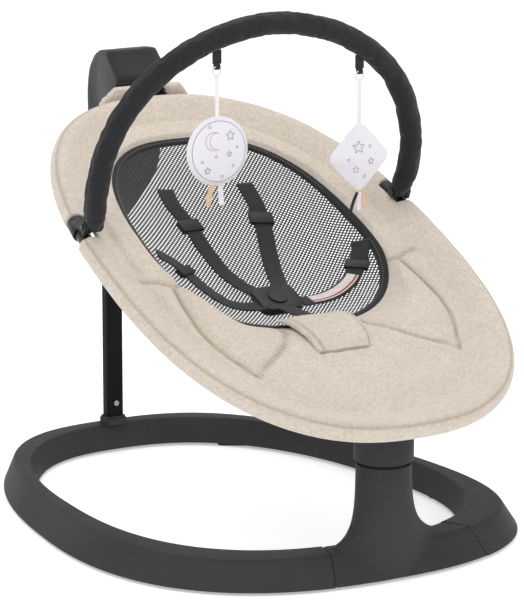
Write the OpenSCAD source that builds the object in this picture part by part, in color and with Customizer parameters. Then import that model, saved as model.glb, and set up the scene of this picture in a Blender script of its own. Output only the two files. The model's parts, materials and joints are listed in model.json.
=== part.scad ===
// Baby bouncer seat: a padded oval seat that sways between a front column and a rear post,
// both standing on one egg-shaped floor ring, with a folding toy bar and a five-point harness.
// Millimetres. +Z up, -Y is the foot end, +Y the head end, origin on the floor below the middle.

/* [Floor ring] */
// Half width of the ring's footprint
ring_half_w = 300; // [296:1:304]
// Half length of the ring's footprint
ring_half_l = 408; // [404:1:412]
// Height of the ring above its rubber feet
ring_h = 36; // [34:1:38]
// Height of the rubber feet
foot_h = 4; // [3:0.5:5]
// Wall of the hollow ring, as a share of its section
ring_wall_share = 0.16; // [0.12:0.01:0.2]

/* [Seat] */
// Half width of the seat tube's centre line
seat_half_w = 248; // [246:1:250]
// Half length of the seat tube's centre line
seat_half_l = 370; // [368:1:372]
// Recline of the seat from level, in degrees
seat_tilt = 24.83; // [24.5:0.1:25.1]
// Height of the seat tube's middle above the floor
seat_z = 367.2; // [366:0.2:369]
// Depth of the sling below its rim
sling_depth = 46; // [44:1:48]
// Radius of the seat tube
tube_r = 9.5; // [9:0.1:9.6]

/* [Toy bar] */
// Half width of the toy bar at its pivots
bar_half_w = 236; // [235:1:237]
// Height of the toy bar above its pivots, along its own lean
bar_rise = 256; // [250:1:262]
// Lean of the toy bar towards the foot end, in degrees
bar_lean = 10.7; // [9:0.1:12]
// Radius of the toy bar's sleeve
sleeve_r = 15; // [14:0.5:16]

/* [Harness] */
// Width of the harness webbing
web_w = 25; // [24:1:25]
// Travel of the buckle's push button
button_travel = 3; // [2:0.5:3]

/* [Hidden] */
$fn = 48;

charcoal = [0.16, 0.16, 0.17];
beige = [0.84, 0.79, 0.73];
black_cloth = [0.12, 0.12, 0.13];
steel = [0.7, 0.7, 0.72];
white = [0.95, 0.95, 0.95];

// ---------- curves and sweeps ----------

// Egg-shaped superellipse in polar form; e = [half width, half length, power, taper, centre y]
function egg(e, phi) =
    let (c = cos(phi), s = sin(phi),
         r = pow(pow(abs(c) / e[0], e[2]) + pow(abs(s) / e[1], e[2]), -1 / e[2]))
    [r * c * (1 + e[3] * r * s / e[1]), e[4] + r * s];
function lerp(a, b, t) = a + (b - a) * t;
function unit(v) = v / norm(v);
function steps(a, b, n) = [for (i = [0 : n]) a + (b - a) * i / n];
// Cubic Bezier curve through n + 1 points
function bezier(p, n) = [for (t = steps(0, 1, n))
    pow(1 - t, 3) * p[0] + 3 * t * pow(1 - t, 2) * p[1] + 3 * t * t * (1 - t) * p[2] + pow(t, 3) * p[3]];
// A corner at b rounded off by the length r: three points
function corner(a, b, c, r) =
    let (p = b + unit(a - b) * r, q = b + unit(c - b) * r)
    [p, lerp(lerp(p, b, 0.5), lerp(b, q, 0.5), 0.5), q];
function disc(r, m) = [for (j = [0 : m - 1]) r * [cos(360 * j / m), sin(360 * j / m)]];
function block(w, h) = [[-w / 2, -h / 2], [w / 2, -h / 2], [w / 2, h / 2], [-w / 2, h / 2]];
function tangent(p, i, closed) =
    let (n = len(p), a = closed ? p[(i - 1 + n) % n] : p[max(i - 1, 0)],
         b = closed ? p[(i + 1) % n] : p[min(i + 1, n - 1)])
    unit(b - a);
// One loop of the flat shape across the path p at each of its points; up is a vector or a list
function loops(p, shape, up, closed = false) = [for (i = [0 : len(p) - 1])
    let (t = tangent(p, i, closed), u = is_list(up[0]) ? up[i] : up,
         side = unit(cross(t, u)), top = cross(side, t))
    [for (q = shape) p[i] + q[0] * side + q[1] * top]];
function skin(n, m, first, closed, flip) = [for (i = [0 : closed ? n - 1 : n - 2], j = [0 : m - 1])
    let (k = (i + 1) % n, a = first + i * m + j, b = first + i * m + (j + 1) % m,
         c = first + k * m + (j + 1) % m, d = first + k * m + j)
    each flip ? [[a, c, b], [a, d, c]] : [[a, b, c], [a, c, d]]];
function end_strip(a, b, m, flip) = [for (j = [0 : m - 1])
    let (k = (j + 1) % m) each flip ? [[a + j, a + k, b + k], [a + j, b + k, b + j]]
                                    : [[a + j, b + k, a + k], [a + j, b + j, b + k]]];
function end_fan(a, m, flip) = [for (j = [1 : m - 2]) flip ? [a, a + j, a + j + 1] : [a, a + j + 1, a + j]];
function middle(l) = let (m = len(l)) [for (i = [0 : 2]) [for (p = l) p[i]] * [for (p = l) 1 / m]];
// Above zero when the loop a turns anticlockwise about the way to the loop b
function turn(a, b) =
    let (c = middle(a), m = len(a), n = [for (j = [0 : m - 1]) cross(a[j] - c, a[(j + 1) % m] - c)])
    [for (i = [0 : 2]) [for (q = n) q[i]] * [for (q = n) 1]] * (middle(b) - c);
// Solid or, with inner loops, hollow body skinned over a row of loops
module sweep(out, inn = [], closed = false) {
    n = len(out);
    m = len(out[0]);
    hollow = len(inn) > 0;
    left = turn(out[0], out[1]) > 0;
    pts = concat([for (l = out) each l], [for (l = inn) each l]);
    last = (n - 1) * m;
    caps = closed ? [] : hollow
        ? concat(end_strip(0, n * m, m, left), end_strip(last, n * m + last, m, !left))
        : concat(end_fan(0, m, left), end_fan(last, m, !left));
    faces = concat(skin(n, m, 0, closed, left), hollow ? skin(n, m, n * m, closed, !left) : [], caps);
    polyhedron(pts, faces, convexity = 10);
}

// ---------- floor ring ----------

ring_top = foot_h + ring_h;
e_out_low = [ring_half_w, ring_half_l, 2.4, -0.192, 25.5];
e_out_top = [ring_half_w - 29, ring_half_l - 35, 2.82, -0.154, 22];
e_in_top = [ring_half_w - 48, ring_half_l - 67, 2.47, -0.111, 27];
e_in_low = [ring_half_w - 57.5, ring_half_l - 77, 2.47, -0.111, 27];
seam_left = 183.5;
seam_front_left = 259.5;
seam_front_right = 289;
seam_right = 356.5;
seam_gap = 0.06;

function at_z(p, z) = [p[0], p[1], z];
// Section of the ring at the direction phi: sloping skirt, flat top, upright inner wall
function ring_loop(phi) =
    let (a = at_z(egg(e_out_low, phi), foot_h), b = at_z(egg(e_out_top, phi), ring_top),
         c = at_z(egg(e_in_top, phi), ring_top), d = at_z(egg(e_in_low, phi), foot_h))
    concat([a], corner(a, b, c, 5), corner(b, c, d, 3), [d]);
function shrink(l, share) = let (m = middle(l)) [for (p = l) lerp(p, m, share)];
module ring_part(from, to, n) {
    out = [for (phi = steps(from + seam_gap, to - seam_gap, n)) ring_loop(phi)];
    sweep(out, [for (l = out) shrink(l, ring_wall_share)]);
}
module base_rear_arc() { color(charcoal) ring_part(seam_right - 360, seam_left, 34); }
module base_left_arc() { color(charcoal) ring_part(seam_left, seam_front_left, 14); }
module base_right_arc() { color(charcoal) ring_part(seam_front_right, seam_right, 13); }
// Plugs that join the hollow parts across each seam
module splice_plugs() {
    color("dimgray")
        for (s = [[seam_left, 4, 4], [seam_front_left, 4, 0.4], [seam_front_right, 1.5, 4],
                  [seam_right, 4, 4]])
            sweep([for (phi = steps(s[0] - s[1], s[0] + s[2], 3))
                shrink(ring_loop(phi), ring_wall_share + 0.05)]);
}
foot_angles = [57, 123, 200, 340, 240, 300];
function under_ring(phi, share) = lerp(egg(e_out_low, phi), egg(e_in_low, phi), share);
module base_feet() {
    color("black")
        for (phi = foot_angles) {
            p = under_ring(phi, 0.72);
            translate([p[0], p[1], 0]) rotate([0, 0, phi]) {
                translate([-8, -14, 0]) cube([16, 28, foot_h]);
                for (e = [-14, 14])
                    translate([0, e, 0]) cylinder(r = 8, h = foot_h);
            }
        }
}
screw_r = 2;
module base_screws() {
    color(steel)
        for (phi = [seam_left - 2.4, seam_left + 2.4, seam_front_left - 2.4,
                    seam_front_right + 2.4, seam_right - 2.4, seam_right + 2.4]) {
            p = under_ring(phi, 0.5);
            translate([p[0], p[1], foot_h - 2]) cylinder(r = 3.5, h = 2);
            translate([p[0], p[1], foot_h - 1]) cylinder(r = screw_r, h = 14);
        }
}

// ---------- front column ----------

col_y = -346.7;
col_r = 35.6;
col_top = 150;
flare_z = ring_top + 1;
// Column outline at height z: round at the top, and stretched along the ring towards its foot
function flare(z) = exp(-max(z - flare_z, 0) / 21);
function column_loop(z, inset) =
    let (f = flare(z), power = 2 - 0.65 * f, wl = col_r + 36 * f - inset, wr = col_r + 72 * f - inset,
         front = col_r - inset, back = col_r - 3 * f - inset)
    [for (j = [0 : 35])
        let (c = cos(10 * j), s = sin(10 * j), e = 2 / power,
             x = (c < 0 ? -wl : wr) * pow(abs(c), e), y = (s < 0 ? -front : back) * pow(abs(s), e))
        [x, col_y + y + f * x * x / 300, z]];
column_levels = [flare_z, flare_z + 4, flare_z + 9, flare_z + 16, 68, 82, 100, 122, col_top];
module front_housing() {
    color(charcoal) {
        ring_part(seam_front_left, seam_front_right, 7);
        difference() {
            sweep([for (z = concat([foot_h + 1], column_levels)) column_loop(z, 0)]);
            sweep([for (z = concat([foot_h], column_levels, [col_top + 1])) column_loop(z, 3.2)]);
        }
    }
}
collar_r = 38.5;
collar_z = 153.5;
collar_top = 198;
module collar() {
    color(charcoal)
        difference() {
            union() {
                translate([0, col_y, collar_z]) cylinder(r = collar_r, h = collar_top - collar_z, $fn = 96);
                translate([0, col_y, collar_z - 14]) cylinder(r = 32, h = 15, $fn = 96);
            }
            translate([0, col_y, collar_z - 15]) cylinder(r = 28, h = collar_top, $fn = 96);
        }
}

// ---------- sway axis: front and rear pivots ----------

front_z = 212;
rear_y = 275;
axis_tilt = 27.9;
barrel_r = 11;
bush_r = 8;
bush_bore = 6.05;
pin_r = 6;
module at_front() { translate([0, col_y, front_z]) rotate([axis_tilt, 0, 0]) children(); }
module at_rear() {
    rise = (rear_y - col_y) * tan(axis_tilt);
    translate([0, rear_y, front_z + rise]) rotate([axis_tilt, 0, 0]) children();
}
// A cylinder along the sway axis, from a to b
module along(r, a, b) { translate([0, a, 0]) rotate([-90, 0, 0]) cylinder(r = r, h = b - a); }
barrel_half = 18;
module front_bearing_block() {
    color("dimgray")
        difference() {
            union() {
                translate([0, col_y, 158]) cylinder(r = 27.5, h = 16);
                translate([-9, col_y - 11, 173]) cube([18, 24, 34]);
                at_front() along(barrel_r, -barrel_half, barrel_half);
            }
            at_front() along(bush_r, -barrel_half - 10, barrel_half + 10);
        }
}
module bush(a, b, flange_a, flange_b) {
    difference() {
        union() {
            along(bush_r, a, b);
            along(barrel_r - 0.5, flange_a, flange_b);
        }
        along(bush_bore, min(a, flange_a) - 1, max(b, flange_b) + 1);
    }
}
module front_bushes() {
    color("black")
        at_front() {
            bush(-barrel_half, -1, -barrel_half - 2, -barrel_half);
            bush(1, barrel_half, barrel_half, barrel_half + 2);
        }
}
ear_a = 20.5;
ear_b = 26;
// Side outline of the bracket: two ears, the plate over them and a tongue up to the seat tube
bracket_side = [[ear_b, -11], [ear_b, 15.5], [-ear_b, 15.5], [-60, 24], [-60, 20.6], [-ear_b, 11],
                [-ear_b, -11], [-ear_a, -11], [-ear_a, 12.5], [ear_a, 12.5], [ear_a, -11]];
module side_plate(half, outline) {
    rotate([90, 0, 90]) translate([0, 0, -half]) linear_extrude(2 * half) polygon(outline);
}
module front_bracket() {
    color(charcoal)
        at_front()
            difference() {
                union() {
                    side_plate(13, bracket_side);
                    side_plate(24, [[-67.6, 20], [-67.6, 31], [-53.6, 31], [-53.6, 20]]);
                }
                along(pin_r + 0.02, -ear_b - 1, ear_b + 1);
                translate([-40, -65.6, 34.5]) rotate([0, 90, 0]) cylinder(r = tube_r + 0.6, h = 80);
            }
}
module front_pivot_pin() {
    color(steel)
        at_front() {
            along(pin_r, -ear_b - 2, ear_b + 2);
            along(pin_r + 3, -ear_b - 4, -ear_b - 0.1);
        }
}
rear_barrel_a = 10;
rear_barrel_b = 40;
module rear_bearing_block() {
    color("dimgray")
        at_rear()
            difference() {
                union() {
                    along(barrel_r, rear_barrel_a, rear_barrel_b);
                    translate([-11, rear_barrel_b - 2, -11]) cube([22, 10, 22]);
                }
                along(bush_r, rear_barrel_a - 1, rear_barrel_b - 1);
            }
}
module rear_bushes() {
    color("black")
        at_rear() {
            bush(rear_barrel_a, 23, rear_barrel_a - 2, rear_barrel_a);
            difference() {
                along(bush_r, 25, rear_barrel_b - 1.2);
                along(bush_bore, 24, rear_barrel_b);
            }
        }
}
module rear_pivot_pin() {
    color(steel)
        at_rear() along(pin_r, -13, rear_barrel_b - 3);
}

// ---------- rear post, arm and hood ----------

post_y = 372;
post_w = 26;
post_d = 18;
post_wall = 1.5;
post_top = 440;
snap_z = 71.5;
snap_r = 4;
module box_tube(w, d, wall, z0, z1, round_r) {
    difference() {
        rounded_box(w, d, z0, z1, round_r);
        rounded_box(w - 2 * wall, d - 2 * wall, z0 - 1, z1 + 1, round_r - wall);
    }
}
module rounded_box(w, d, z0, z1, r) {
    translate([0, 0, z0]) {
        translate([-w / 2 + r, -d / 2, 0]) cube([w - 2 * r, d, z1 - z0]);
        translate([-w / 2, -d / 2 + r, 0]) cube([w, d - 2 * r, z1 - z0]);
        for (x = [-1, 1], y = [-1, 1])
            translate([x * (w / 2 - r), y * (d / 2 - r), 0]) cylinder(r = r, h = z1 - z0);
    }
}
module rear_post() {
    color(charcoal)
        difference() {
            translate([0, post_y, 0]) box_tube(post_w, post_d, post_wall, ring_top + 1, post_top, 4);
            translate([0, post_y, snap_z]) rotate([90, 0, 0]) cylinder(r = snap_r + 0.05, h = post_d);
        }
}
shoe_h = 12;
module post_shoe() {
    color(charcoal)
        difference() {
            translate([0, post_y, 0]) {
                rounded_box(34, 26, ring_top, ring_top + shoe_h - 3, 6);
                rounded_box(31, 23, ring_top + shoe_h - 3, ring_top + shoe_h, 5);
                // the boss that takes the shoe's screw
                translate([-12, -13, ring_top + 5]) rotate([90, 0, 0]) cylinder(r = 4.5, h = 3);
            }
            translate([0, post_y, 0])
                rounded_box(post_w + 0.2, post_d + 0.2, ring_top + 0.9, ring_top + 20, 4);
        }
}
// Sprung pin that locks the post in its socket; it is pushed in to take the post out
module post_snap_pin() {
    color(steel)
        translate([0, post_y - post_d / 2, snap_z]) rotate([-90, 0, 0]) {
            translate([0, 0, -2]) cylinder(r = snap_r, h = 5.5);
            translate([0, 0, 2]) cylinder(r = snap_r + 1.5, h = 1.5);
        }
}
module snap_spring() {
    color(steel)
        translate([0, post_y - post_d / 2 + 3.8, snap_z]) rotate([-90, 0, 0])
            difference() {
                cylinder(r = 3, h = post_d - 3.8 - post_wall - 0.2);
                translate([0, 0, -1]) cylinder(r = 2, h = post_d);
            }
}
arm_route = [[0, 372, 430], [0, 372, 465], [0, 371.5, 492], [0, 368, 518], [0, 360, 540],
             [0, 348, 556], [0, 333, 563.5], [0, 318, 562.5]];
module rear_arm() {
    color(charcoal) sweep(loops(arm_route, disc(7, 12), [1, 0, 0]));
}
hood_wall = 2.5;
// Side outline of the hood: up the back, over the crown, down the sloping front and back to the post
hood_outline = concat([[384, 345], [384, 520]],
    bezier([[384, 535], [384, 568], [355, 593], [322, 593]], 8),
    bezier([[308, 593], [298, 582], [288, 574], [273, 563]], 5),
    [[269, 556], [284, 549], [289, 536]],
    bezier([[291, 520], [292, 440], [310, 390], [359, 345]], 8));
// Right half of the hood seen from above and seen from the front: it narrows to the back and down
hood_plan = [[0, 250], [46, 250], [30, 384], [0, 384]];
hood_front = [[0, 600], [60, 600], [52, 500], [47, 450], [34, 399], [26, 375], [18, 345], [0, 345]];
function both_sides(half) =
    concat(half, [for (i = [len(half) - 1 : -1 : 0]) if (half[i][0] > 0) [-half[i][0], half[i][1]]]);
module hood_solid(inset) {
    intersection() {
        translate([-60, 0, 0]) rotate([90, 0, 90])
            linear_extrude(120) offset(delta = -inset) polygon(hood_outline);
        linear_extrude(700) offset(delta = -inset) polygon(both_sides(hood_plan));
        translate([0, 400, 0]) rotate([90, 0, 0])
            linear_extrude(200) offset(delta = -inset) polygon(both_sides(hood_front));
    }
}
module rear_hood() {
    color(black_cloth)
        difference() {
            hood_solid(0);
            hood_solid(hood_wall);
            translate([0, post_y, 0]) rounded_box(post_w + 1, post_d + 1, 330, 360, 4);
            at_rear() along(barrel_r + 1, -20, rear_barrel_a + 12);
        }
}

// ---------- seat frame ----------

seat_y = -85;
module in_seat() { translate([0, seat_y, seat_z]) rotate([seat_tilt, 0, 0]) children(); }
e_tube = [seat_half_w, seat_half_l, 2.45, -0.02, 0];
function tube_point(phi) = at_z(egg(e_tube, phi), 0);
tube_joint = -9;
module tube_part(from, to, n) {
    path = [for (phi = steps(from, to, n)) tube_point(phi)];
    sweep(loops(path, disc(tube_r, 12), [0, 0, 1]), loops(path, disc(tube_r - 1.5, 12), [0, 0, 1]));
}
head_steps = 34;
head_from = tube_joint + 0.03;
head_to = 180 - tube_joint - 0.03;
module seat_tube_head() { color(steel) in_seat() tube_part(head_from, head_to, head_steps); }
module seat_tube_foot() {
    color(steel) in_seat() tube_part(180 - tube_joint + 0.03, 360 + tube_joint - 0.03, 30);
}
module tube_joiners() {
    color("dimgray")
        in_seat()
            for (s = [tube_joint, 180 - tube_joint])
                sweep(loops([for (phi = steps(s - 5, s + 5, 4)) tube_point(phi)], disc(tube_r - 1.9, 12),
                            [0, 0, 1]));
}
module rear_bracket() {
    color(charcoal)
        difference() {
            union() {
                in_seat() translate([-28, seat_half_l + tube_r, -8]) cube([56, 12, 16]);
                in_seat() translate([-14, seat_half_l + tube_r + 10, -6]) cube([28, 11, 24]);
            }
            at_rear() along(pin_r + 0.02, -16, 30);
        }
}
// Padded tab behind the head end, over the rear bracket
module head_tab() {
    color(beige)
        in_seat()
            difference() {
                hull() {
                    translate([-72, seat_half_l + 15, -10]) cube([144, 11, 6]);
                    translate([-52, seat_half_l + 17, 14]) cube([104, 9, 6]);
                }
                translate([-29, seat_half_l, -20]) cube([58, 60, 33.5]);
                translate([-16, seat_half_l, -20]) cube([32, 60, 39]);
            }
}

// ---------- seat cover ----------

// Padded wrap round the tube: the outline runs over the tube and back along its underside
rim_inner = 38;
wrap_r = 14;
wrap_outline = [[-rim_inner, -9], [-15, 1], [-7.4, 7.8], [0.4, 10.6], [7.6, 7.8], [10.7, 0.6], [8.4, -6.6],
                [3.5, -10.4], [4.5, -wrap_r], [11, -9], [wrap_r, 0], [10.4, 9], [3, 13.2], [-6, 12.4],
                [-16, 7.5], [-26, 2], [-rim_inner, -5]];
module wrap_part(from, to, n) {
    path = [for (phi = steps(from, to, n)) tube_point(phi)];
    sweep(loops(path, [for (i = [len(wrap_outline) - 1 : -1 : 0]) wrap_outline[i]], [0, 0, 1]));
}
wrap_cut_high = 27.5;
wrap_cut_low = 13;
module rim_cover_head() {
    color(beige)
        in_seat()
            difference() {
                wrap_part(wrap_cut_high, 180 - wrap_cut_high, 26);
                translate([-29, seat_half_l + 2, -20]) cube([58, 60, 33]);
            }
}
module rim_cover_foot() {
    color(beige) in_seat() wrap_part(180 - wrap_cut_low, 360 + wrap_cut_low, 38);
}

// Height of the sling's top surface at the point (u, v) of the seat plane
function sling_w(u, v) =
    let (rho = pow(pow(abs(u) / 166, 2.6) + pow(abs(v - 60) / 250, 2.6), 1 / 2.6),
         along = (v + 45) / (v > -45 ? 230 : 120),
         bowl = pow(max(0, 1 - pow(rho, 2.4)), 0.8))
    -5 - sling_depth * exp(-along * along) * bowl;
e_mesh = [165.8, 205.8, 2.64, -0.083, 87.3];
function mesh_edge(phi, scale) =
    egg([e_mesh[0] * scale, e_mesh[1] * scale, e_mesh[2], e_mesh[3], e_mesh[4]], phi);
function rim_edge(phi) =
    let (p = tube_point(phi), t = unit(tube_point(phi + 0.5) - tube_point(phi - 0.5)))
    [p[0] - t[1] * (rim_inner + 1.4), p[1] + t[0] * (rim_inner + 1.4)];
panel_t = 4;
function on_sling(p, drop) = [p[0], p[1], sling_w(p[0], p[1]) - drop];
// One spoke of a sling panel, from the mesh's edge out to the rim, as a closed loop of points
function panel_loop(phi, n) =
    let (inner = mesh_edge(phi, 1.004), outer = rim_edge(phi),
         row = [for (t = steps(0, 1, n)) lerp(inner, outer, t)])
    concat([for (p = row) on_sling(p, 0)], [for (i = [n : -1 : 0]) on_sling(row[i], panel_t)]);
module panel(from, to, n) {
    sweep([for (phi = steps(from, to, n)) panel_loop(phi, 5)]);
}
module head_panel() { color(beige) in_seat() panel(15, 165, 22); }
module wing_left() { color(beige) in_seat() panel(165, 215, 9); }
module front_panel() { color(beige) in_seat() panel(215, 325, 18); }
module wing_right() { color(beige) in_seat() panel(325, 375, 9); }
// Open mesh back insert: rows of points from the middle out, skinned as one thin sheet
mesh_spokes = 40;
mesh_rows = 5;
module mesh_panel() {
    top = [for (r = [1 : mesh_rows], s = [0 : mesh_spokes - 1])
        mesh_edge(360 * s / mesh_spokes, 0.95 * r / mesh_rows)];
    pts = concat([on_sling([0, e_mesh[4]], 1)], [for (p = top) on_sling(p, 1)],
                 [on_sling([0, e_mesh[4]], 2.5)], [for (p = top) on_sling(p, 2.5)]);
    low = 1 + len(top);
    function at(r, s) = 1 + r * mesh_spokes + s % mesh_spokes;
    upper = concat([for (s = [0 : mesh_spokes - 1]) [0, at(0, s + 1), at(0, s)]],
        [for (r = [0 : mesh_rows - 2], s = [0 : mesh_spokes - 1])
            each [[at(r, s), at(r, s + 1), at(r + 1, s + 1)], [at(r, s), at(r + 1, s + 1), at(r + 1, s)]]]);
    edge = [for (s = [0 : mesh_spokes - 1]) let (a = at(mesh_rows - 1, s), b = at(mesh_rows - 1, s + 1))
        each [[a, b, low + b], [a, low + b, low + a]]];
    lower = [for (f = upper) [f[0] + low, f[2] + low, f[1] + low]];
    color(black_cloth) in_seat() polyhedron(pts, concat(upper, edge, lower), convexity = 6);
}
module mesh_binding() {
    function bind_loop(phi) =
        let (a = mesh_edge(phi, 0.954), b = mesh_edge(phi, 1.0))
        [on_sling(a, 4), on_sling(b, 4), on_sling(b, -1.5), on_sling(a, -1.5)];
    color(black_cloth)
        in_seat() sweep([for (s = [0 : 47]) bind_loop(7.5 * s)], closed = true);
}
// Rows of the bridge from the mesh to the foot end: [v, left edge, right edge, height above the sling]
bridge_rows = [[-101, -52, 46, 7.5], [-114, -53, 46, 11], [-132, -53, 44, 13.5], [-152, -53, 42, 13.5],
               [-172, -52, 39, 12], [-192, -51, 36, 8.5], [-208, -50, 34, 4.6]];
module crotch_bridge() {
    color(beige)
        in_seat()
            sweep([for (b = bridge_rows) let (w = sling_w(0, b[0]) + b[3])
                [for (q = [[b[1], -3.5], [b[2], -3.5], [b[2], 3.5], [b[1], 3.5]]) [q[0], b[0], w + q[1]]]]);
}

// ---------- harness ----------

function slope_up(u, v) =
    unit([sling_w(u - 2, v) - sling_w(u + 2, v), sling_w(u, v - 2) - sling_w(u, v + 2), 4]);
function strap_path(route) = [for (p = route) [p[0], p[1], sling_w(p[0], p[1]) + p[2]]];
function strap_ups(route) = [for (p = route) slope_up(p[0], p[1])];
web_t = 1.6;
// Each route is a list of [u, v, height above the sling]
shoulder_left = [[-68, 191, 3.5], [-71, 165, 4], [-68, 143, 4.5], [-63.5, 120, 4.5], [-62, 92, 4.5],
                 [-59, 62, 4], [-54, 30, 4.5], [-44, 0, 6.5], [-34, -25, 10.5]];
shoulder_right = [[54, 187, 3.5], [53, 166, 4], [52, 145, 4.5], [47.5, 120, 4.5], [40, 92, 4.5],
                  [31, 64, 4], [22, 35, 4.5], [13.5, 5, 6.5], [4, -25, 10.5]];
waist_left = [[-150, 54, 4], [-137, 49, 4.5], [-127, 39, 5], [-119.5, 26, 5], [-113, 10, 5], [-106, -6, 4.5],
              [-98, -23, 4.5], [-88, -38, 5], [-74, -49, 7], [-58, -54, 9], [-44, -55, 10.5]];
waist_right = [[150, 30, 4], [144, 16, 4.5], [136, 4, 5], [126.5, -8, 5], [116, -20, 5], [103, -31, 4.5],
               [82, -42, 5], [58, -50, 6.5], [34, -54, 9], [14, -55, 10.5]];
crotch_route = [[-2, -109, 8], [-4, -98, 8.5], [-8, -86, 9.5], [-12, -76, 10.5], [-14, -66, 10.5]];
module webbing(route) {
    color(black_cloth)
        in_seat() sweep(loops(strap_path(route), block(web_w, web_t), strap_ups(route)));
}
module shoulder_strap_left() { webbing(shoulder_left); }
module shoulder_strap_right() { webbing(shoulder_right); }
module waist_strap_left() { webbing(waist_left); }
module waist_strap_right() { webbing(waist_right); }
module crotch_strap() { webbing(crotch_route); }
// Slotted slide that shortens a strap: it runs along the webbing at point i of its route
module adjuster(route, i, len) {
    path = strap_path(route);
    t = tangent(path, i, false);
    s = unit(cross(t, strap_ups(route)[i]));
    n = cross(s, t);
    p = path[i];
    color(charcoal)
        in_seat()
            multmatrix([for (k = [0 : 2]) [s[k], t[k], n[k], p[k]]])
                difference() {
                    translate([-16.5, -len / 2, -3.1]) cube([33, len, 6.6]);
                    translate([-13.8, -len, -2.2]) cube([27.6, 2 * len, 4.4]);
                }
}
module shoulder_adjuster_left() { adjuster(shoulder_left, 3, 20); }
module shoulder_adjuster_right() { adjuster(shoulder_right, 3, 20); }
module waist_adjuster_left() { adjuster(waist_left, 3, 14); }
module waist_adjuster_right() { adjuster(waist_right, 3, 14); }
buckle_u = -15;
buckle_v = -44;
buckle_low = -41.5;
buckle_h = 11;
buckle_half = 31;
button_r = 12.5;
module at_buckle(w) { in_seat() translate([buckle_u, buckle_v, w]) children(); }
module buckle_body() {
    color(charcoal)
        difference() {
            at_buckle(buckle_low) {
                translate([-buckle_half, -12, 0]) cube([2 * buckle_half, 24, buckle_h]);
                translate([-22, -24, 0]) cube([44, 48, buckle_h]);
                for (x = [-1, 1], y = [-1, 1])
                    translate([x * 19, y * 12, 0]) cylinder(r = 12, h = buckle_h);
            }
            at_buckle(buckle_low + 3) cylinder(r = button_r + 0.4, h = 20);
        }
}
module buckle_button() {
    color("dimgray")
        at_buckle(buckle_low + 3 + button_travel + 0.6)
            cylinder(r = button_r, h = buckle_h - button_travel - 2.2);
}
module buckle_spring() {
    color(steel)
        at_buckle(buckle_low + 3)
            difference() {
                cylinder(r = 6, h = button_travel + 0.5);
                translate([0, 0, -1]) cylinder(r = 4.8, h = 20);
            }
}

// ---------- toy bar ----------

bar_y = -13.3;
bar_z = 421.9;
// Middle of the arched bar; a = 0 and 180 at its pivots, 90 at its crown
function bar_point(a) =
    let (h = bar_rise * pow(sin(a), 1.077), c = cos(a), foot = 1 - exp(-h / 20),
         x = (c < 0 ? -1 : 1) * bar_half_w * pow(abs(c), 1.077) * (1 + 0.244 * h / bar_rise))
    [x, bar_y - h * sin(bar_lean) - 13.9 * foot, bar_z + h * cos(bar_lean) + 3.3 * foot];
bar_end = 4;
function bar_path(from, to, n) = [for (a = steps(from, to, n)) bar_point(a)];
bar_up = [0, cos(bar_lean), sin(bar_lean)];
module toy_bar_tube() {
    path = bar_path(bar_end, 180 - bar_end, 36);
    color(steel) sweep(loops(path, disc(6, 10), bar_up), loops(path, disc(4.8, 10), bar_up));
}
module toy_bar_sleeve() {
    path = bar_path(bar_end + 0.5, 179.5 - bar_end, 40);
    color(black_cloth) sweep(loops(path, disc(sleeve_r, 14), bar_up), loops(path, disc(6.4, 14), bar_up));
}
hub_pin_r = 4;
hub_half = 9;
hub_mid = bar_half_w - 1;
// End hubs: each turns on its pivot pin and plugs into the bar's tube
module bar_hubs() {
    color(charcoal)
        for (side = [-1, 1])
            difference() {
                union() {
                    translate([side * hub_mid, bar_y, bar_z]) rotate([0, 90, 0])
                        cylinder(r = 9, h = 2 * hub_half, center = true);
                    translate([side * hub_mid, bar_y, bar_z]) rotate([32, side * 8, 0])
                        cylinder(r = 4.4, h = 24);
                }
                translate([side * bar_half_w, bar_y, bar_z]) rotate([0, 90, 0])
                    cylinder(r = hub_pin_r + 0.05, h = 60, center = true);
            }
}
module bar_pivot_pins() {
    color(steel)
        for (side = [-1, 1])
            translate([side * bar_half_w, bar_y, bar_z]) rotate([0, side * 90, 0]) {
                translate([0, 0, -10.2]) cylinder(r = hub_pin_r, h = 27.7);
                translate([0, 0, -13]) cylinder(r = 6.5, h = 2.8);
            }
}
// Clamp on the seat tube with an ear that carries the toy bar's pivot, in the seat's own plane
ear_outline = [[79.5, 10.6], [79.5, 19.5], [96.5, 19.5], [100, 15], [114, 12.5], [114, -4], [99, -4],
               [99, 10.6]];
function head_phi(i) = head_from + (head_to - head_from) * i / head_steps;
module bar_bracket(side) {
    function flip(p) = [side * p[0], p[1], 0];
    color(charcoal)
        difference() {
            union() {
                in_seat()
                    sweep(loops([for (phi = [22, 24.5, 27]) flip(tube_point(phi))], disc(12.5, 24), [0, 0, 1]));
                in_seat() translate([side > 0 ? 246 : -252, 0, 0]) rotate([90, 0, 90])
                    linear_extrude(6) {
                        polygon(ear_outline);
                        translate([88, 19.5]) circle(r = 8.5);
                    }
            }
            in_seat()
                sweep(loops([for (i = [3 : 8]) flip(tube_point(head_phi(i)))], disc(tube_r + 0.4, 24),
                            [0, 0, 1]));
            translate([side * bar_half_w, bar_y, bar_z]) rotate([0, 90, 0])
                cylinder(r = hub_pin_r + 0.02, h = 60, center = true);
        }
}
module bar_bracket_left() { bar_bracket(-1); }
module bar_bracket_right() { bar_bracket(1); }

// ---------- toys ----------

round_x = -83;
diamond_x = 138;
function bar_at(x) = [for (a = steps(10, 170, 640)) if (abs(bar_point(a)[0] - x) < 0.8) bar_point(a)][0];
loop_len = 26;
ring_hole = 3;
ring_r = 6;
function hang_point(x) = bar_at(x) - [0, 0, sleeve_r + loop_len - 4];
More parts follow.
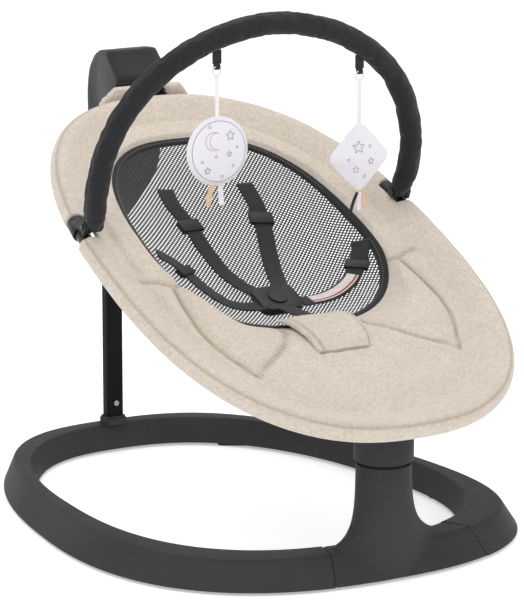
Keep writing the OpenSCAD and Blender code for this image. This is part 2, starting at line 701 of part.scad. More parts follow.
// Webbing loops sewn to the sleeve, each folded round into an eye for a toy's ring
module toy_bar_loops() {
    color("black")
        for (x = [round_x, diamond_x]) {
            p = hang_point(x);
            difference() {
                union() {
                    translate([p[0] - 6, p[1] - 1.5, p[2] + 3.6]) cube([12, 3, loop_len - 8]);
                    translate(p) rotate([0, 90, 0]) cylinder(r = ring_hole + 1.4, h = 6, center = true);
                }
                translate(p) rotate([0, 90, 0]) cylinder(r = ring_hole, h = 20, center = true);
            }
        }
}
module hanger(x, drop) {
    p = hang_point(x);
    color(white)
        translate([p[0], p[1], p[2] - ring_r]) {
            rotate([90, 0, 0]) rotate_extrude() translate([ring_r, 0]) circle(r = 1.2, $fn = 16);
            translate([-2.5, -0.5, -ring_r - drop]) cube([5, 1, drop]);
        }
}
ribbon_drop = 60;
module round_toy_hanger() { hanger(round_x, ribbon_drop); }
module diamond_toy_hanger() { hanger(diamond_x, ribbon_drop); }
function toy_top(x) = hang_point(x) - [0, 0, 2 * ring_r - 1.5 + ribbon_drop - ring_r + 0.3];
module tag(x, z, lean, colour) {
    color(colour) translate([x, 0, z]) rotate([0, lean, 0]) translate([-4, -0.6, -30]) cube([8, 1.2, 30]);
}
round_r = 46;
module round_toy() {
    p = toy_top(round_x);
    translate([p[0], p[1], p[2] - round_r]) {
        color(white)
            rotate([90, 0, 0]) rotate_extrude($fn = 64)
                polygon([[0, -7], [22, -6], [38, -3.4], [round_r, -1], [round_r, 1], [38, 3.4], [22, 6],
                         [0, 7]]);
        tag(-7, -round_r + 3, 14, beige);
        tag(5, -round_r + 3, -4, white);
    }
}
diamond_half = 36;
module diamond_toy() {
    p = toy_top(diamond_x);
    translate([p[0], p[1], p[2] - 49]) {
        color(white)
            rotate([0, 45, 0]) {
                translate([-diamond_half + 6, -4.5, -diamond_half])
                    cube([2 * diamond_half - 12, 9, 2 * diamond_half]);
                translate([-diamond_half, -4.5, -diamond_half + 6])
                    cube([2 * diamond_half, 9, 2 * diamond_half - 12]);
                for (x = [-1, 1], z = [-1, 1])
                    translate([x * (diamond_half - 6), 4.5, z * (diamond_half - 6)])
                        rotate([90, 0, 0]) cylinder(r = 6, h = 9);
            }
        tag(-6, -45, 16, "saddlebrown");
        tag(6, -45, -6, white);
    }
}

// ---------- assembly ----------

base_rear_arc();
base_left_arc();
base_right_arc();
front_housing();
splice_plugs();
base_screws();
base_feet();
collar();
front_bearing_block();
front_bushes();
post_shoe();
rear_post();
post_snap_pin();
snap_spring();
rear_arm();
rear_bearing_block();
rear_bushes();
rear_hood();
seat_tube_head();
seat_tube_foot();
tube_joiners();
front_bracket();
front_pivot_pin();
rear_bracket();
rear_pivot_pin();
head_tab();
rim_cover_head();
rim_cover_foot();
head_panel();
front_panel();
wing_left();
wing_right();
mesh_panel();
mesh_binding();
crotch_bridge();
bar_bracket_left();
bar_bracket_right();
bar_pivot_pins();
toy_bar_tube();
toy_bar_sleeve();
bar_hubs();
toy_bar_loops();
round_toy();
round_toy_hanger();
diamond_toy();
diamond_toy_hanger();
shoulder_strap_left();
shoulder_strap_right();
waist_strap_left();
waist_strap_right();
crotch_strap();
shoulder_adjuster_left();
shoulder_adjuster_right();
waist_adjuster_left();
waist_adjuster_right();
buckle_body();
buckle_button();
buckle_spring();
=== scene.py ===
import bpy, json, math
import bmesh
import numpy as np
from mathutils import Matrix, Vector, noise


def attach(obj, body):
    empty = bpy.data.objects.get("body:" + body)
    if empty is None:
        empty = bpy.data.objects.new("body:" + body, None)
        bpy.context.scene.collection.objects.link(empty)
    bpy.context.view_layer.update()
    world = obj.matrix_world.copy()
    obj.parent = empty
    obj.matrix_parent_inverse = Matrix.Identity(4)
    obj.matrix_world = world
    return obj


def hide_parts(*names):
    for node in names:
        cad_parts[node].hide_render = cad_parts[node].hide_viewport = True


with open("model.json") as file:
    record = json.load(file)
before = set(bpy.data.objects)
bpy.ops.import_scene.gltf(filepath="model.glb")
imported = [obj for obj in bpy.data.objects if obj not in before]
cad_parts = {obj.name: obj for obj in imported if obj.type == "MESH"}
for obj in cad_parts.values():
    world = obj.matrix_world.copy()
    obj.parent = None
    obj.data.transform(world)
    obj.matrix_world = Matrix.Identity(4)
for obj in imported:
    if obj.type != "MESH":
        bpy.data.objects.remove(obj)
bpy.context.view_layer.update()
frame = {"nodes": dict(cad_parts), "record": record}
NODES = frame["nodes"]
scene = bpy.context.scene

# ---------------------------------------------------------------- camera
AZ, EL, DIST = math.radians(-30.943), math.radians(12.624), 4.6519
TARGET = Vector((0.0, -0.0467, 0.3024))
back = Vector((math.sin(AZ) * math.cos(EL), -math.cos(AZ) * math.cos(EL), math.sin(EL)))
cam_data = bpy.data.cameras.new("camera")
cam = bpy.data.objects.new("camera", cam_data)
scene.collection.objects.link(cam)
cam.location = TARGET + back * DIST
cam.rotation_mode = "QUATERNION"
cam.rotation_quaternion = (-back).to_track_quat("-Z", "Y")
cam_data.lens, cam_data.sensor_width = 209.75, 36.0
cam_data.clip_start, cam_data.clip_end = 0.05, 60.0
scene.camera = cam

# ---------------------------------------------------------------- shape formulas, in mm
TILT = math.radians(24.83)
SEAT = np.array([0.0, -85.0, 367.2])


def seat(p):
    """Seat-plane coordinates (u, v, w) to the shared frame."""
    p = np.asarray(p, float)
    c, s = math.cos(TILT), math.sin(TILT)
    return np.stack([p[..., 0], SEAT[1] + p[..., 1] * c - p[..., 2] * s,
                     SEAT[2] + p[..., 1] * s + p[..., 2] * c], -1)


def egg(e, deg):
    a = np.radians(np.asarray(deg, float))
    c, s = np.cos(a), np.sin(a)
    r = ((abs(c) / e[0]) ** e[2] + (abs(s) / e[1]) ** e[2]) ** (-1 / e[2])
    return np.stack([r * c * (1 + e[3] * r * s / e[1]), e[4] + r * s], -1)


E_TUBE = (248, 370, 2.45, -0.02, 0)
E_MESH = (165.8, 205.8, 2.64, -0.083, 87.3)


def scaled(e, k):
    return (e[0] * k, e[1] * k, e[2], e[3], e[4])


def sling(u, v):
    u, v = np.asarray(u, float), np.asarray(v, float)
    rho = ((abs(u) / 166) ** 2.6 + (abs(v - 60) / 250) ** 2.6) ** (1 / 2.6)
    a = (v + 45) / np.where(v > -45, 230.0, 120.0)
    bowl = np.maximum(0, 1 - rho ** 2.4) ** 0.8
    return -5 - 46 * np.exp(-a * a) * bowl


def sling_up(u, v):
    """The way straight up from the sling's surface, from its slope over 4 mm."""
    n = np.stack([sling(u - 2, v) - sling(u + 2, v), sling(u, v - 2) - sling(u, v + 2),
                  np.full(np.shape(u), 4.0)], -1)
    return n / np.linalg.norm(n, axis=-1, keepdims=True)


def tube_frame(deg):
    """Point on the seat tube and the way out from it, in the seat plane."""
    p = egg(E_TUBE, deg)
    t = egg(E_TUBE, np.asarray(deg) + 0.5) - egg(E_TUBE, np.asarray(deg) - 0.5)
    t /= np.linalg.norm(t, axis=-1, keepdims=True)
    return p, np.stack([t[..., 1], -t[..., 0]], -1)


def spline(points, n, closed=False):
    """n points along a smooth curve through the given ones, evenly spaced."""
    p = np.asarray(points, float)
    if closed:
        p = np.vstack([p[-1:], p, p[:2]])
    else:
        p = np.vstack([2 * p[0] - p[1], p, 2 * p[-1] - p[-2]])
    out = []
    for i in range(1, len(p) - 2):
        for t in np.linspace(0, 1, 24, endpoint=False):
            a, b, c, d = p[i - 1:i + 3]
            out.append(0.5 * (2 * b + (c - a) * t + (2 * a - 5 * b + 4 * c - d) * t * t
                              + (3 * b - 3 * c + d - a) * t ** 3))
    out.append(p[-2])
    out = np.array(out)
    s = np.concatenate([[0], np.cumsum(np.linalg.norm(np.diff(out, axis=0), axis=1))])
    want = np.linspace(0, s[-1], n, endpoint=not closed)
    return np.stack([np.interp(want, s, out[:, k]) for k in range(out.shape[1])], -1)


def fbm(p, scale, octaves=3, seed=0.0):
    """Smooth noise from -1 to 1 at each point (mm)."""
    off = Vector((seed, seed * 1.7, -seed))
    return np.array([noise.fractal(Vector(q) / scale + off, 1.0, 2.0, octaves)
                     for q in np.asarray(p, float).reshape(-1, 3)])


def near(uv, line):
    """Distance from each (u, v) to a polyline."""
    best = np.full(uv.shape[:-1], 1e9)
    line = np.asarray(line, float)
    for a, b in zip(line[:-1], line[1:]):
        d = b - a
        t = np.clip(((uv - a) @ d) / (d @ d), 0, 1)
        best = np.minimum(best, np.linalg.norm(uv - a - t[..., None] * d, axis=-1))
    return best


def smooth01(x):
    x = np.clip(x, 0, 1)
    return x * x * (3 - 2 * x)


# ---------------------------------------------------------------- building meshes
def make(name, verts, faces, uvs=None, smooth=True, loose_faces=()):
    """Mesh object from millimetre points. uvs holds one (u, v) for each corner of each face."""
    me = bpy.data.meshes.new(name)
    me.from_pydata([tuple(v) for v in np.asarray(verts, float) / 1000.0], [],
                   [tuple(f) for f in list(faces) + list(loose_faces)])
    if uvs is not None:
        layer = me.uv_layers.new(name="UVMap")
        flat = np.zeros(len(layer.data) * 2, np.float32)
        flat[:len(uvs) * 2] = np.asarray(uvs, np.float32).ravel()
        layer.data.foreach_set("uv", flat)
    me.validate()
    ob = bpy.data.objects.new(name, me)
    scene.collection.objects.link(ob)
    me.polygons.foreach_set("use_smooth", [smooth] * len(me.polygons))
    return ob


def outward(ob):
    bm = bmesh.new()
    bm.from_mesh(ob.data)
    bmesh.ops.recalc_face_normals(bm, faces=bm.faces)
    bm.to_mesh(ob.data)
    bm.free()


def grid(name, P, close_i=False, close_j=False, caps=False, uv=None, smooth=True, recalc=True):
    """Quads over the array of points P[i][j]. uv[i][j] is in metres along and across the cloth."""
    P = np.asarray(P, float)
    n, m = P.shape[:2]
    ii = range(n if close_i else n - 1)
    jj = range(m if close_j else m - 1)
    if uv is None:
        di = np.linalg.norm(np.diff(P, axis=0), axis=-1).mean(1)
        dj = np.linalg.norm(np.diff(P, axis=1), axis=-1).mean(0)
        si, sj = np.concatenate([[0], np.cumsum(di)]), np.concatenate([[0], np.cumsum(dj)])
        si = np.append(si, si[-1] + di.mean())
        sj = np.append(sj, sj[-1] + dj.mean())
    faces, uvs = [], []
    for i in ii:
        for j in jj:
            k, l = (i + 1) % n, (j + 1) % m
            faces.append((i * m + j, k * m + j, k * m + l, i * m + l))
            if uv is None:
                uvs += [(si[i], sj[j]), (si[i + 1], sj[j]), (si[i + 1], sj[j + 1]), (si[i], sj[j + 1])]
            else:
                uvs += [uv[i][j], uv[k][j], uv[k][l], uv[i][l]]
    ends = []
    if caps:
        ends = [tuple(range(m)), tuple((n - 1) * m + j for j in range(m - 1, -1, -1))]
    ob = make(name, P.reshape(-1, 3), faces, np.array(uvs) / (1000.0 if uv is None else 1.0), smooth, ends)
    if recalc:
        outward(ob)
    return ob


def frames(path, up):
    """Side and top directions along a path; up is one direction or one for each point."""
    path = np.asarray(path, float)
    t = np.gradient(path, axis=0)
    t /= np.linalg.norm(t, axis=1, keepdims=True)
    up = np.broadcast_to(np.asarray(up, float), path.shape)
    side = np.cross(t, up)
    side /= np.linalg.norm(side, axis=1, keepdims=True)
    return t, side, np.cross(side, t)


def tube(name, path, section, up=(0, 0, 1), caps=True, closed=False):
    """section is a list of (side, top) points, or one list for each point of the path."""
    path = np.asarray(path, float)
    if closed:
        ext = np.vstack([path[-1:], path, path[:1]])
        _, side, top = frames(ext, up if np.ndim(up) == 1 else np.vstack([up[-1:], up, up[:1]]))
        side, top = side[1:-1], top[1:-1]
    else:
        _, side, top = frames(path, up)
    section = np.asarray(section, float)
    if section.ndim == 2:
        section = np.broadcast_to(section, (len(path),) + section.shape)
    P = path[:, None, :] + section[..., 0:1] * side[:, None, :] + section[..., 1:2] * top[:, None, :]
    return grid(name, P, close_i=closed, close_j=True, caps=caps and not closed)


def circle(r, n=24):
    a = np.linspace(0, 2 * math.pi, n, endpoint=False)
    return np.stack([r * np.cos(a), r * np.sin(a)], -1)


def pad_section(half, thick, n=6):
    """Flat band with rounded edges."""
    x = np.linspace(-half + thick / 2, half - thick / 2, n)
    top = [(q, thick / 2) for q in x]
    edge = [(half - thick * 0.15, thick * 0.3), (half, 0), (half - thick * 0.15, -thick * 0.3)]
    low = [(-q, -thick / 2) for q in x]
    return np.array(top + edge + low + [(-a, -b) for a, b in edge])


def modify(ob, kind, **values):
    m = ob.modifiers.new(kind.lower(), kind)
    for k, v in values.items():
        setattr(m, k, v)
    return m


def freeze(ob):
    """Applies every modifier of the object."""
    dg = bpy.context.evaluated_depsgraph_get()
    me = bpy.data.meshes.new_from_object(ob.evaluated_get(dg), depsgraph=dg)
    ob.modifiers.clear()
    old, ob.data = ob.data, me
    bpy.data.meshes.remove(old)


def coords(ob):
    c = np.zeros(len(ob.data.vertices) * 3)
    ob.data.vertices.foreach_get("co", c)
    return c.reshape(-1, 3)


def set_coords(ob, c):
    ob.data.vertices.foreach_set("co", np.asarray(c, np.float32).ravel())
    ob.data.update()


def paint_seam_shade(ob, shade):
    """How strongly each point is darkened as painted shade in its seam groove, 0 to 1, from how close it is
    to a seam, for the cloth's material.
    """
    layer = ob.data.attributes.new("seam", "FLOAT", "POINT")
    layer.data.foreach_set("value", np.asarray(shade, np.float32).ravel())


def inflate(ob, pinned, pressure=3.0, cap=0.004, frames_run=20, shrink=0.0, bend=0.5, tension=15):
    """Cloth with air pressure, held where pinned is true; the settled shape is kept as the mesh."""
    before = coords(ob)
    group = ob.vertex_groups.new(name="held")
    for i, w in enumerate(np.asarray(pinned, float)):
        if w > 0:
            group.add([i], float(min(1, w)), "REPLACE")
    m = ob.modifiers.new("cloth", "CLOTH")
    s = m.settings
    s.quality = 6
    s.mass = 0.3
    s.tension_stiffness = s.compression_stiffness = tension
    s.shear_stiffness = 5
    s.bending_stiffness = bend
    s.use_pressure = True
    s.uniform_pressure_force = pressure
    s.vertex_group_mass = "held"
    s.pin_stiffness = 1.0
    s.shrink_min = shrink
    s.effector_weights.gravity = 0
    m.collision_settings.use_collision = False
    m.point_cache.frame_start, m.point_cache.frame_end = 1, frames_run
    for f in range(1, frames_run + 1):
        scene.frame_set(f)
    dg = bpy.context.evaluated_depsgraph_get()
    ev = ob.evaluated_get(dg)
    after = np.zeros(len(ev.data.vertices) * 3)
    ev.data.vertices.foreach_get("co", after)
    after = after.reshape(-1, 3)
    ob.modifiers.remove(m)
    ob.vertex_groups.clear()
    move = after - before
    far = np.linalg.norm(move, axis=1, keepdims=True)
    move *= np.minimum(1, cap / np.maximum(far, 1e-9))
    set_coords(ob, before + np.nan_to_num(move))
    scene.frame_set(1)


def soft_copy(name, nodes, voxel=0.004, pressure=4.0, cap=0.004):
    """Padded piece from CAD solids: copied, remeshed, swollen as cloth and smoothed."""
    bm = bmesh.new()
    for n in nodes:
        bm.from_mesh(NODES[n].data)
    me = bpy.data.meshes.new(name)
    bm.to_mesh(me)
    bm.free()
    ob = bpy.data.objects.new(name, me)
    scene.collection.objects.link(ob)
    modify(ob, "REMESH", mode="VOXEL", voxel_size=voxel)
    modify(ob, "SMOOTH", factor=0.5, iterations=6)
    freeze(ob)
    ob.data.polygons.foreach_set("use_smooth", [True] * len(ob.data.polygons))
    inflate(ob, np.zeros(len(ob.data.vertices)), pressure, cap)
    modify(ob, "SUBSURF", levels=1, render_levels=1)
    return ob


# ---------------------------------------------------------------- materials
def lin(h):
    h = h.lstrip("#")
    c = [int(h[i:i + 2], 16) / 255 for i in (0, 2, 4)]
    return tuple(x / 12.92 if x <= 0.04045 else ((x + 0.055) / 1.055) ** 2.4 for x in c) + (1.0,)


class Nodes:
    """Small helper to write a node tree."""

    def __init__(self, name):
        self.mat = bpy.data.materials.new(name)
        self.mat.use_nodes = True
        self.t = self.mat.node_tree
        self.t.nodes.clear()
        self.out = self.t.nodes.new("ShaderNodeOutputMaterial")
        self.bsdf = self.t.nodes.new("ShaderNodeBsdfPrincipled")
        self.link(self.bsdf.outputs[0], self.out.inputs[0])
        self.height = None

    def link(self, a, b):
        self.t.links.new(a, b)

    def node(self, kind, inputs=(), **props):
        n = self.t.nodes.new(kind)
        for k, v in props.items():
            setattr(n, k, v)
        for k, v in dict(inputs).items():
            if isinstance(v, bpy.types.NodeSocket):
                self.link(v, n.inputs[k])
            else:
                n.inputs[k].default_value = v
        return n

    def math(self, op, a, b=0.0, c=0.0):
        return self.node("ShaderNodeMath", {0: a, 1: b, 2: c}, operation=op).outputs[0]

    def place(self, scale=(1, 1, 1), rot=(0, 0, 0), uv=False):
        tc = self.node("ShaderNodeTexCoord")
        place = {"Vector": tc.outputs["UV" if uv else "Object"], "Scale": scale, "Rotation": rot}
        return self.node("ShaderNodeMapping", place).outputs[0]

    def noise(self, vec, scale=1.0, detail=2.0, rough=0.5):
        values = {"Vector": vec, "Scale": scale, "Detail": detail, "Roughness": rough}
        return self.node("ShaderNodeTexNoise", values).outputs["Fac"]

    def ramp(self, fac, stops):
        r = self.node("ShaderNodeValToRGB", {"Fac": fac})
        e = r.color_ramp.elements
        while len(e) < len(stops):
            e.new(0.5)
        for x, (pos, col) in zip(e, stops):
            x.position, x.color = pos, col
        return r.outputs["Color"]

    def mix(self, fac, a, b, mode="MIX"):
        n = self.node("ShaderNodeMix", data_type="RGBA", blend_type=mode)
        for k, v in ((0, fac), (6, a), (7, b)):
            if isinstance(v, bpy.types.NodeSocket):
                self.link(v, n.inputs[k])
            else:
                n.inputs[k].default_value = v
        return n.outputs[2]

    def bump(self, h, strength, distance):
        b = self.node("ShaderNodeBump", {"Height": h, "Strength": strength, "Distance": distance})
        if self.height is not None:
            self.link(self.height, b.inputs["Normal"])
        self.height = b.outputs[0]
        self.link(self.height, self.bsdf.inputs["Normal"])

    def set(self, **values):
        for k, v in values.items():
            k = k.replace("_", " ")
            if isinstance(v, bpy.types.NodeSocket):
                self.link(v, self.bsdf.inputs[k])
            else:
                self.bsdf.inputs[k].default_value = v
        return self


def plastic(name, colour, light, rough=(0.36, 0.5), grain=1.0, spec=0.5):
    m = Nodes(name)
    o = m.place()
    broad = m.noise(o, 9, 3)
    fine = m.noise(o, 1500, 2)
    m.set(Base_Color=m.ramp(m.math("ADD", m.math("MULTIPLY", broad, 0.7), m.math("MULTIPLY", fine, 0.3)),
                            [(0.3, lin(colour)), (0.75, lin(light))]),
          Roughness=m.math("MULTIPLY_ADD", m.noise(o, 60, 4), rough[1] - rough[0], rough[0]),
          Specular_IOR_Level=spec)
    m.bump(m.noise(o, 1100, 3, 0.6), 0.25 * grain, 0.00012)
    return m.mat


def metal(name, colour, light, rough, metallic=1.0):
    m = Nodes(name)
    o = m.place()
    m.set(Base_Color=m.ramp(m.noise(o, 40, 4), [(0.35, lin(colour)), (0.7, lin(light))]), Metallic=metallic,
          Roughness=m.math("MULTIPLY_ADD", m.noise(m.place((200, 900, 200)), 1, 3), 0.16, rough))
    m.bump(m.noise(o, 900, 2), 0.12, 0.0001)
    return m.mat


def melange(name):
    """Sand melange woven fabric: short light and dark slubs in two directions."""
    m = Nodes(name)
    rot = (-TILT, 0, 0)
    a = m.noise(m.place((520, 1500, 700), rot), 1, 3, 0.65)
    b = m.noise(m.place((1500, 430, 700), rot), 1, 3, 0.65)
    broad = m.noise(m.place((1, 1, 1), rot), 22, 3, 0.6)
    mid = m.noise(m.place((1, 1, 1), rot), 190, 3, 0.6)
    f = m.math("ADD", m.math("MULTIPLY", a, 0.5), m.math("MULTIPLY", b, 0.5))
    base = m.ramp(f, [(0.33, lin("#a2927f")), (0.45, lin("#c2b5a5")), (0.55, lin("#d2c8bb")),
                      (0.68, lin("#e9e2da"))])
    base = m.mix(m.ramp(mid, [(0.42, (0, 0, 0, 1)), (0.62, (0.5, 0.5, 0.5, 1))]), base, lin("#ddd3c8"))
    base = m.mix(m.ramp(broad, [(0.35, (0.16, 0.16, 0.16, 1)), (0.65, (0, 0, 0, 1))]), base, lin("#b3a594"))
    # the cloth is drawn in along its seams, and its colour there is darkened towards a dark beige as painted
    # shade in the seam grooves
    seam = m.node("ShaderNodeAttribute", attribute_name="seam").outputs["Fac"]
    base = m.mix(m.math("MULTIPLY", seam, 0.62), base, lin("#6f604e"))
    m.set(Base_Color=base, Roughness=0.92, Sheen_Weight=0.25, Sheen_Roughness=0.5, Specular_IOR_Level=0.2)
    m.bump(f, 0.5, 0.0005)
    m.bump(m.noise(m.place((1, 1, 1), rot), 60, 4, 0.6), 0.25, 0.0012)
    return m.mat


def cloth(name, dark, light, pitch=0.9, rough=0.85, sheen=0.2, slub=0.35, bump=0.5):
    """Plain weave from the piece's UV, in mm."""
    m = Nodes(name)
    k = 2 * math.pi * 1000 / pitch
    uv = m.node("ShaderNodeSeparateXYZ", {0: m.place((1, 1, 1), uv=True)})
    x = m.math("SINE", m.math("MULTIPLY", uv.outputs[0], k))
    y = m.math("SINE", m.math("MULTIPLY", uv.outputs[1], k))
    weave = m.math("MULTIPLY_ADD", m.math("MULTIPLY", x, y), 0.5, 0.5)
    o = m.place()
    f = m.math("ADD", m.math("MULTIPLY", weave, 1 - slub), m.math("MULTIPLY", m.noise(o, 300, 4, 0.6), slub))
    m.set(Base_Color=m.ramp(f, [(0.2, lin(dark)), (0.85, lin(light))]), Roughness=rough, Sheen_Weight=sheen,
          Sheen_Roughness=0.45, Specular_IOR_Level=0.3)
    m.bump(weave, bump, 0.0003)
    m.bump(m.noise(o, 70, 3, 0.6), 0.3, 0.0012)
    return m.mat


def webbing(name, dark, light, stripe=None):
    """Ribbed webbing: cords across, a fine twill along; an optional coloured line."""
    m = Nodes(name)
    uv = m.node("ShaderNodeSeparateXYZ", {0: m.place((1, 1, 1), uv=True)})
    rib = m.math("SINE", m.math("MULTIPLY", uv.outputs[0], 2 * math.pi * 1000 / 1.5))
    slant = m.math("ADD", uv.outputs[1], m.math("MULTIPLY", uv.outputs[0], 0.6))
    twill = m.math("SINE", m.math("MULTIPLY", slant, 2 * math.pi * 1000 / 2.2))
    h = m.math("ADD", m.math("MULTIPLY", rib, 0.5), m.math("MULTIPLY", twill, 0.5))
    f = m.math("MULTIPLY_ADD", h, 0.3, m.math("MULTIPLY", m.noise(m.place(), 180, 3), 0.7))
    col = m.ramp(f, [(0.15, lin(dark)), (0.75, lin(light))])
    if stripe:
        off = m.math("ABSOLUTE", m.math("SUBTRACT", uv.outputs[1], stripe[1] / 1000))
        col = m.mix(m.math("LESS_THAN", off, stripe[2] / 1000), col, lin(stripe[0]))
    m.set(Base_Color=col, Roughness=0.8, Sheen_Weight=0.15, Specular_IOR_Level=0.3)
    m.bump(h, 0.5, 0.0003)
    return m.mat


def open_mesh(name):
    """Black knitted mesh with rows of round holes right through it."""
    m = Nodes(name)
    pitch = 6.2
    uv = m.node("ShaderNodeSeparateXYZ", {0: m.place((1, 1, 1), uv=True)})
    k = 2 * math.pi * 1000 / pitch
    x = m.math("COSINE", m.math("MULTIPLY", uv.outputs[0], k))
    y = m.math("COSINE", m.math("MULTIPLY", uv.outputs[1], k))
    f = m.math("MULTIPLY", x, y)
    hole = m.math("GREATER_THAN", f, 0.30)
    m.set(Base_Color=m.ramp(m.noise(m.place(), 900, 2), [(0.3, lin("#161617")), (0.7, lin("#2e2e30"))]),
          Roughness=0.7, Sheen_Weight=0.1)
    m.bump(f, 0.6, 0.0006)
    clear = m.node("ShaderNodeBsdfTransparent")
    mixer = m.node("ShaderNodeMixShader", {0: hole})
    m.link(m.bsdf.outputs[0], mixer.inputs[1])
    m.link(clear.outputs[0], mixer.inputs[2])
    m.link(mixer.outputs[0], m.out.inputs[0])
    return m.mat


MAT = {
    "plastic": plastic("charcoal_moulded_plastic", "#393a3b", "#434345", (0.48, 0.6), 1.0, 0.05),
    "plastic_small": plastic("black_moulded_plastic", "#141415", "#212123", (0.36, 0.48), 1.0, 0.35),
    "post": plastic("powder_coat", "#171719", "#1f1f21", (0.4, 0.5), 1.4, 0.05),
    "steel": metal("zinc_steel", "#8d8e90", "#b9babc", 0.28),
    "tube": metal("black_enamelled_tube", "#141415", "#202022", 0.22, 0.0),
    "rubber": plastic("rubber", "#161616", "#212121", (0.75, 0.9)),
    "beige": melange("sand_melange_fabric"),
    "black_cloth": cloth("black_plain_weave", "#1b1b1d", "#333336", 1.1),
    "sleeve": cloth("black_sleeve_fabric", "#161719", "#2b2c2e", 0.8, 0.85, 0.15),
    "binding": cloth("black_binding_tape", "#141415", "#2b2b2d", 1.4, 0.75, 0.15),
    "mesh": open_mesh("open_black_mesh"),
    "web": webbing("black_webbing", "#131314", "#2c2c2f"),
    "web_white": webbing("white_webbing_red_line", "#bdb9b4", "#f2efeb", ("#a8323e", 3.0, 1.4)),
    "white": cloth("white_soft_fabric", "#dedde4", "#f0eff4", 0.7, 0.9, 0.3, 0.3, 0.25),
    "print": cloth("grey_print", "#8d8792", "#aaa4ae", 0.7),
    "print_pink": cloth("rose_print", "#c99a96", "#dcb2ac", 0.7),
    "ring": plastic("white_gloss_plastic", "#dcdcdc", "#f4f4f4", (0.2, 0.3), 0.3),
    "peach": cloth("peach_tag", "#dcb592", "#ecccae", 0.7),
    "brown": cloth("dark_brown_tag", "#2a2220", "#3d3230", 0.7),
    "thread": cloth("grey_thread", "#8b8b8d", "#a5a5a7", 0.5),
}


def finish_piece(ob, body, mat, replaces=()):
    ob.data.materials.clear()
    ob.data.materials.append(MAT[mat])
    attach(ob, body)
    if replaces:
        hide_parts(*replaces)
    return ob


# ---------------------------------------------------------------- floor ring
E_RING = {"out_low": (300, 408, 2.4, -0.192, 25.5), "out_top": (271, 373, 2.82, -0.154, 22),
          "in_top": (252, 341, 2.47, -0.111, 27), "in_low": (242.5, 331, 2.47, -0.111, 27)}
RING_LOW, RING_TOP = 4, 40


def rounded(points, radii, n=5):
    """Closed outline with its corners rounded."""
    out = []
    p = [np.array(q, float) for q in points]
    for i, b in enumerate(p):
        r = radii[i]
        if r == 0:
            out.append(b)
            continue
        a, c = p[i - 1], p[(i + 1) % len(p)]
        s = b + (a - b) / np.linalg.norm(a - b) * r
        e = b + (c - b) / np.linalg.norm(c - b) * r
        for t in np.linspace(0, 1, n):
            out.append((1 - t) ** 2 * s + 2 * t * (1 - t) * b + t * t * e)
    return out


def ring_section(deg):
    corners = (("out_low", RING_LOW), ("out_top", RING_TOP), ("in_top", RING_TOP), ("in_low", RING_LOW))
    pts = [np.append(egg(E_RING[k], deg), z) for k, z in corners]
    return np.array(rounded(pts, [1.5, 5, 3, 1.5], 6))


def ring_body(name, a, b):
    n = int((b - a) / 0.8) + 2
    P = np.array([ring_section(deg) for deg in np.linspace(a + 0.10, b - 0.10, n)])
    ends = []
    for q, out in ((P[0], ring_section(a + 0.02)), (P[-1], ring_section(b - 0.02))):
        mid = q.mean(0)
        ends.append(mid + (out - mid) * 0.97)
    P = np.concatenate([[ends[0]], P, [ends[1]]])
    return grid(name, P, close_j=True, caps=True)


def ring_piece(name, a, b, node):
    ob = ring_body(name, a, b)
    modify(ob, "EDGE_SPLIT", split_angle=math.radians(50))
    return finish_piece(ob, "base", "plastic", [node])


ring_piece("base_ring_rear", 356.5 - 360, 183.5, "base_rear_arc")
ring_piece("base_ring_left", 183.5, 259.5, "base_left_arc")
ring_piece("base_ring_right", 289, 356.5, "base_right_arc")


def column():
    """The flared column of the front housing, from the floor ring's lower edge to its mouth."""
    P = []
    levels = [*np.linspace(5, 41, 9), *np.linspace(44, 60, 8), *np.linspace(63, 149, 24), 150]
    for z in levels:
        f = math.exp(-max(z - 41, 0) / 21)
        power, wl, wr, front, rear = 2 - 0.65 * f, 35.6 + 36 * f, 35.6 + 72 * f, 35.6, 35.6 - 3 * f
        if z == 150:
            wl, wr, front, rear = wl - 1, wr - 1, front - 1, rear - 1
        row = []
        for j in range(96):
            c, s = math.cos(math.pi * j / 48), math.sin(math.pi * j / 48)
            e = 2 / power
            x = (-wl if c < 0 else wr) * abs(c) ** e
            y = (-front if s < 0 else rear) * abs(s) ** e
            row.append((x, -346.7 + y + f * x * x / 300, z))
        P.append(row)
    P.append([(x * 0.93, -346.7 + (y + 346.7) * 0.93, 150) for x, y, z in P[-1]])
    P.append([(x, y, 138) for x, y, z in P[-1]])
    return grid("front_column", P, close_j=True, caps=True)


def housing():
    """Its stretch of the ring and the column as one moulding, blended where they meet."""
    bm = bmesh.new()
    parts = [column(), ring_body("housing_ring", 259.5, 289)]
    for o in parts:
        bm.from_mesh(o.data)
        bpy.data.objects.remove(o)
    me = bpy.data.meshes.new("front_housing_moulding")
    bm.to_mesh(me)
    bm.free()
    ob = bpy.data.objects.new("front_housing_moulding", me)
    scene.collection.objects.link(ob)
    modify(ob, "REMESH", mode="VOXEL", voxel_size=0.0016)
    freeze(ob)
    c = coords(ob) * 1000
    soft = np.clip((c[:, 2] - 28) / 10, 0, 1) * np.clip((92 - c[:, 2]) / 20, 0, 1)
    soft *= np.clip((c[:, 0] + 82) / 10, 0, 1) * np.clip((132 - c[:, 0]) / 20, 0, 1)
    group = ob.vertex_groups.new(name="soft")
    for i, w in enumerate(soft):
        if w > 0:
            group.add([i], float(w), "REPLACE")
    modify(ob, "SMOOTH", factor=0.6, iterations=26, vertex_group="soft")
    modify(ob, "SMOOTH", factor=0.5, iterations=2)
    freeze(ob)
    ob.vertex_groups.clear()
    ob.data.polygons.foreach_set("use_smooth", [True] * len(ob.data.polygons))
    modify(ob, "EDGE_SPLIT", split_angle=math.radians(60))
    return finish_piece(ob, "base", "plastic", ["front_housing"])


housing()


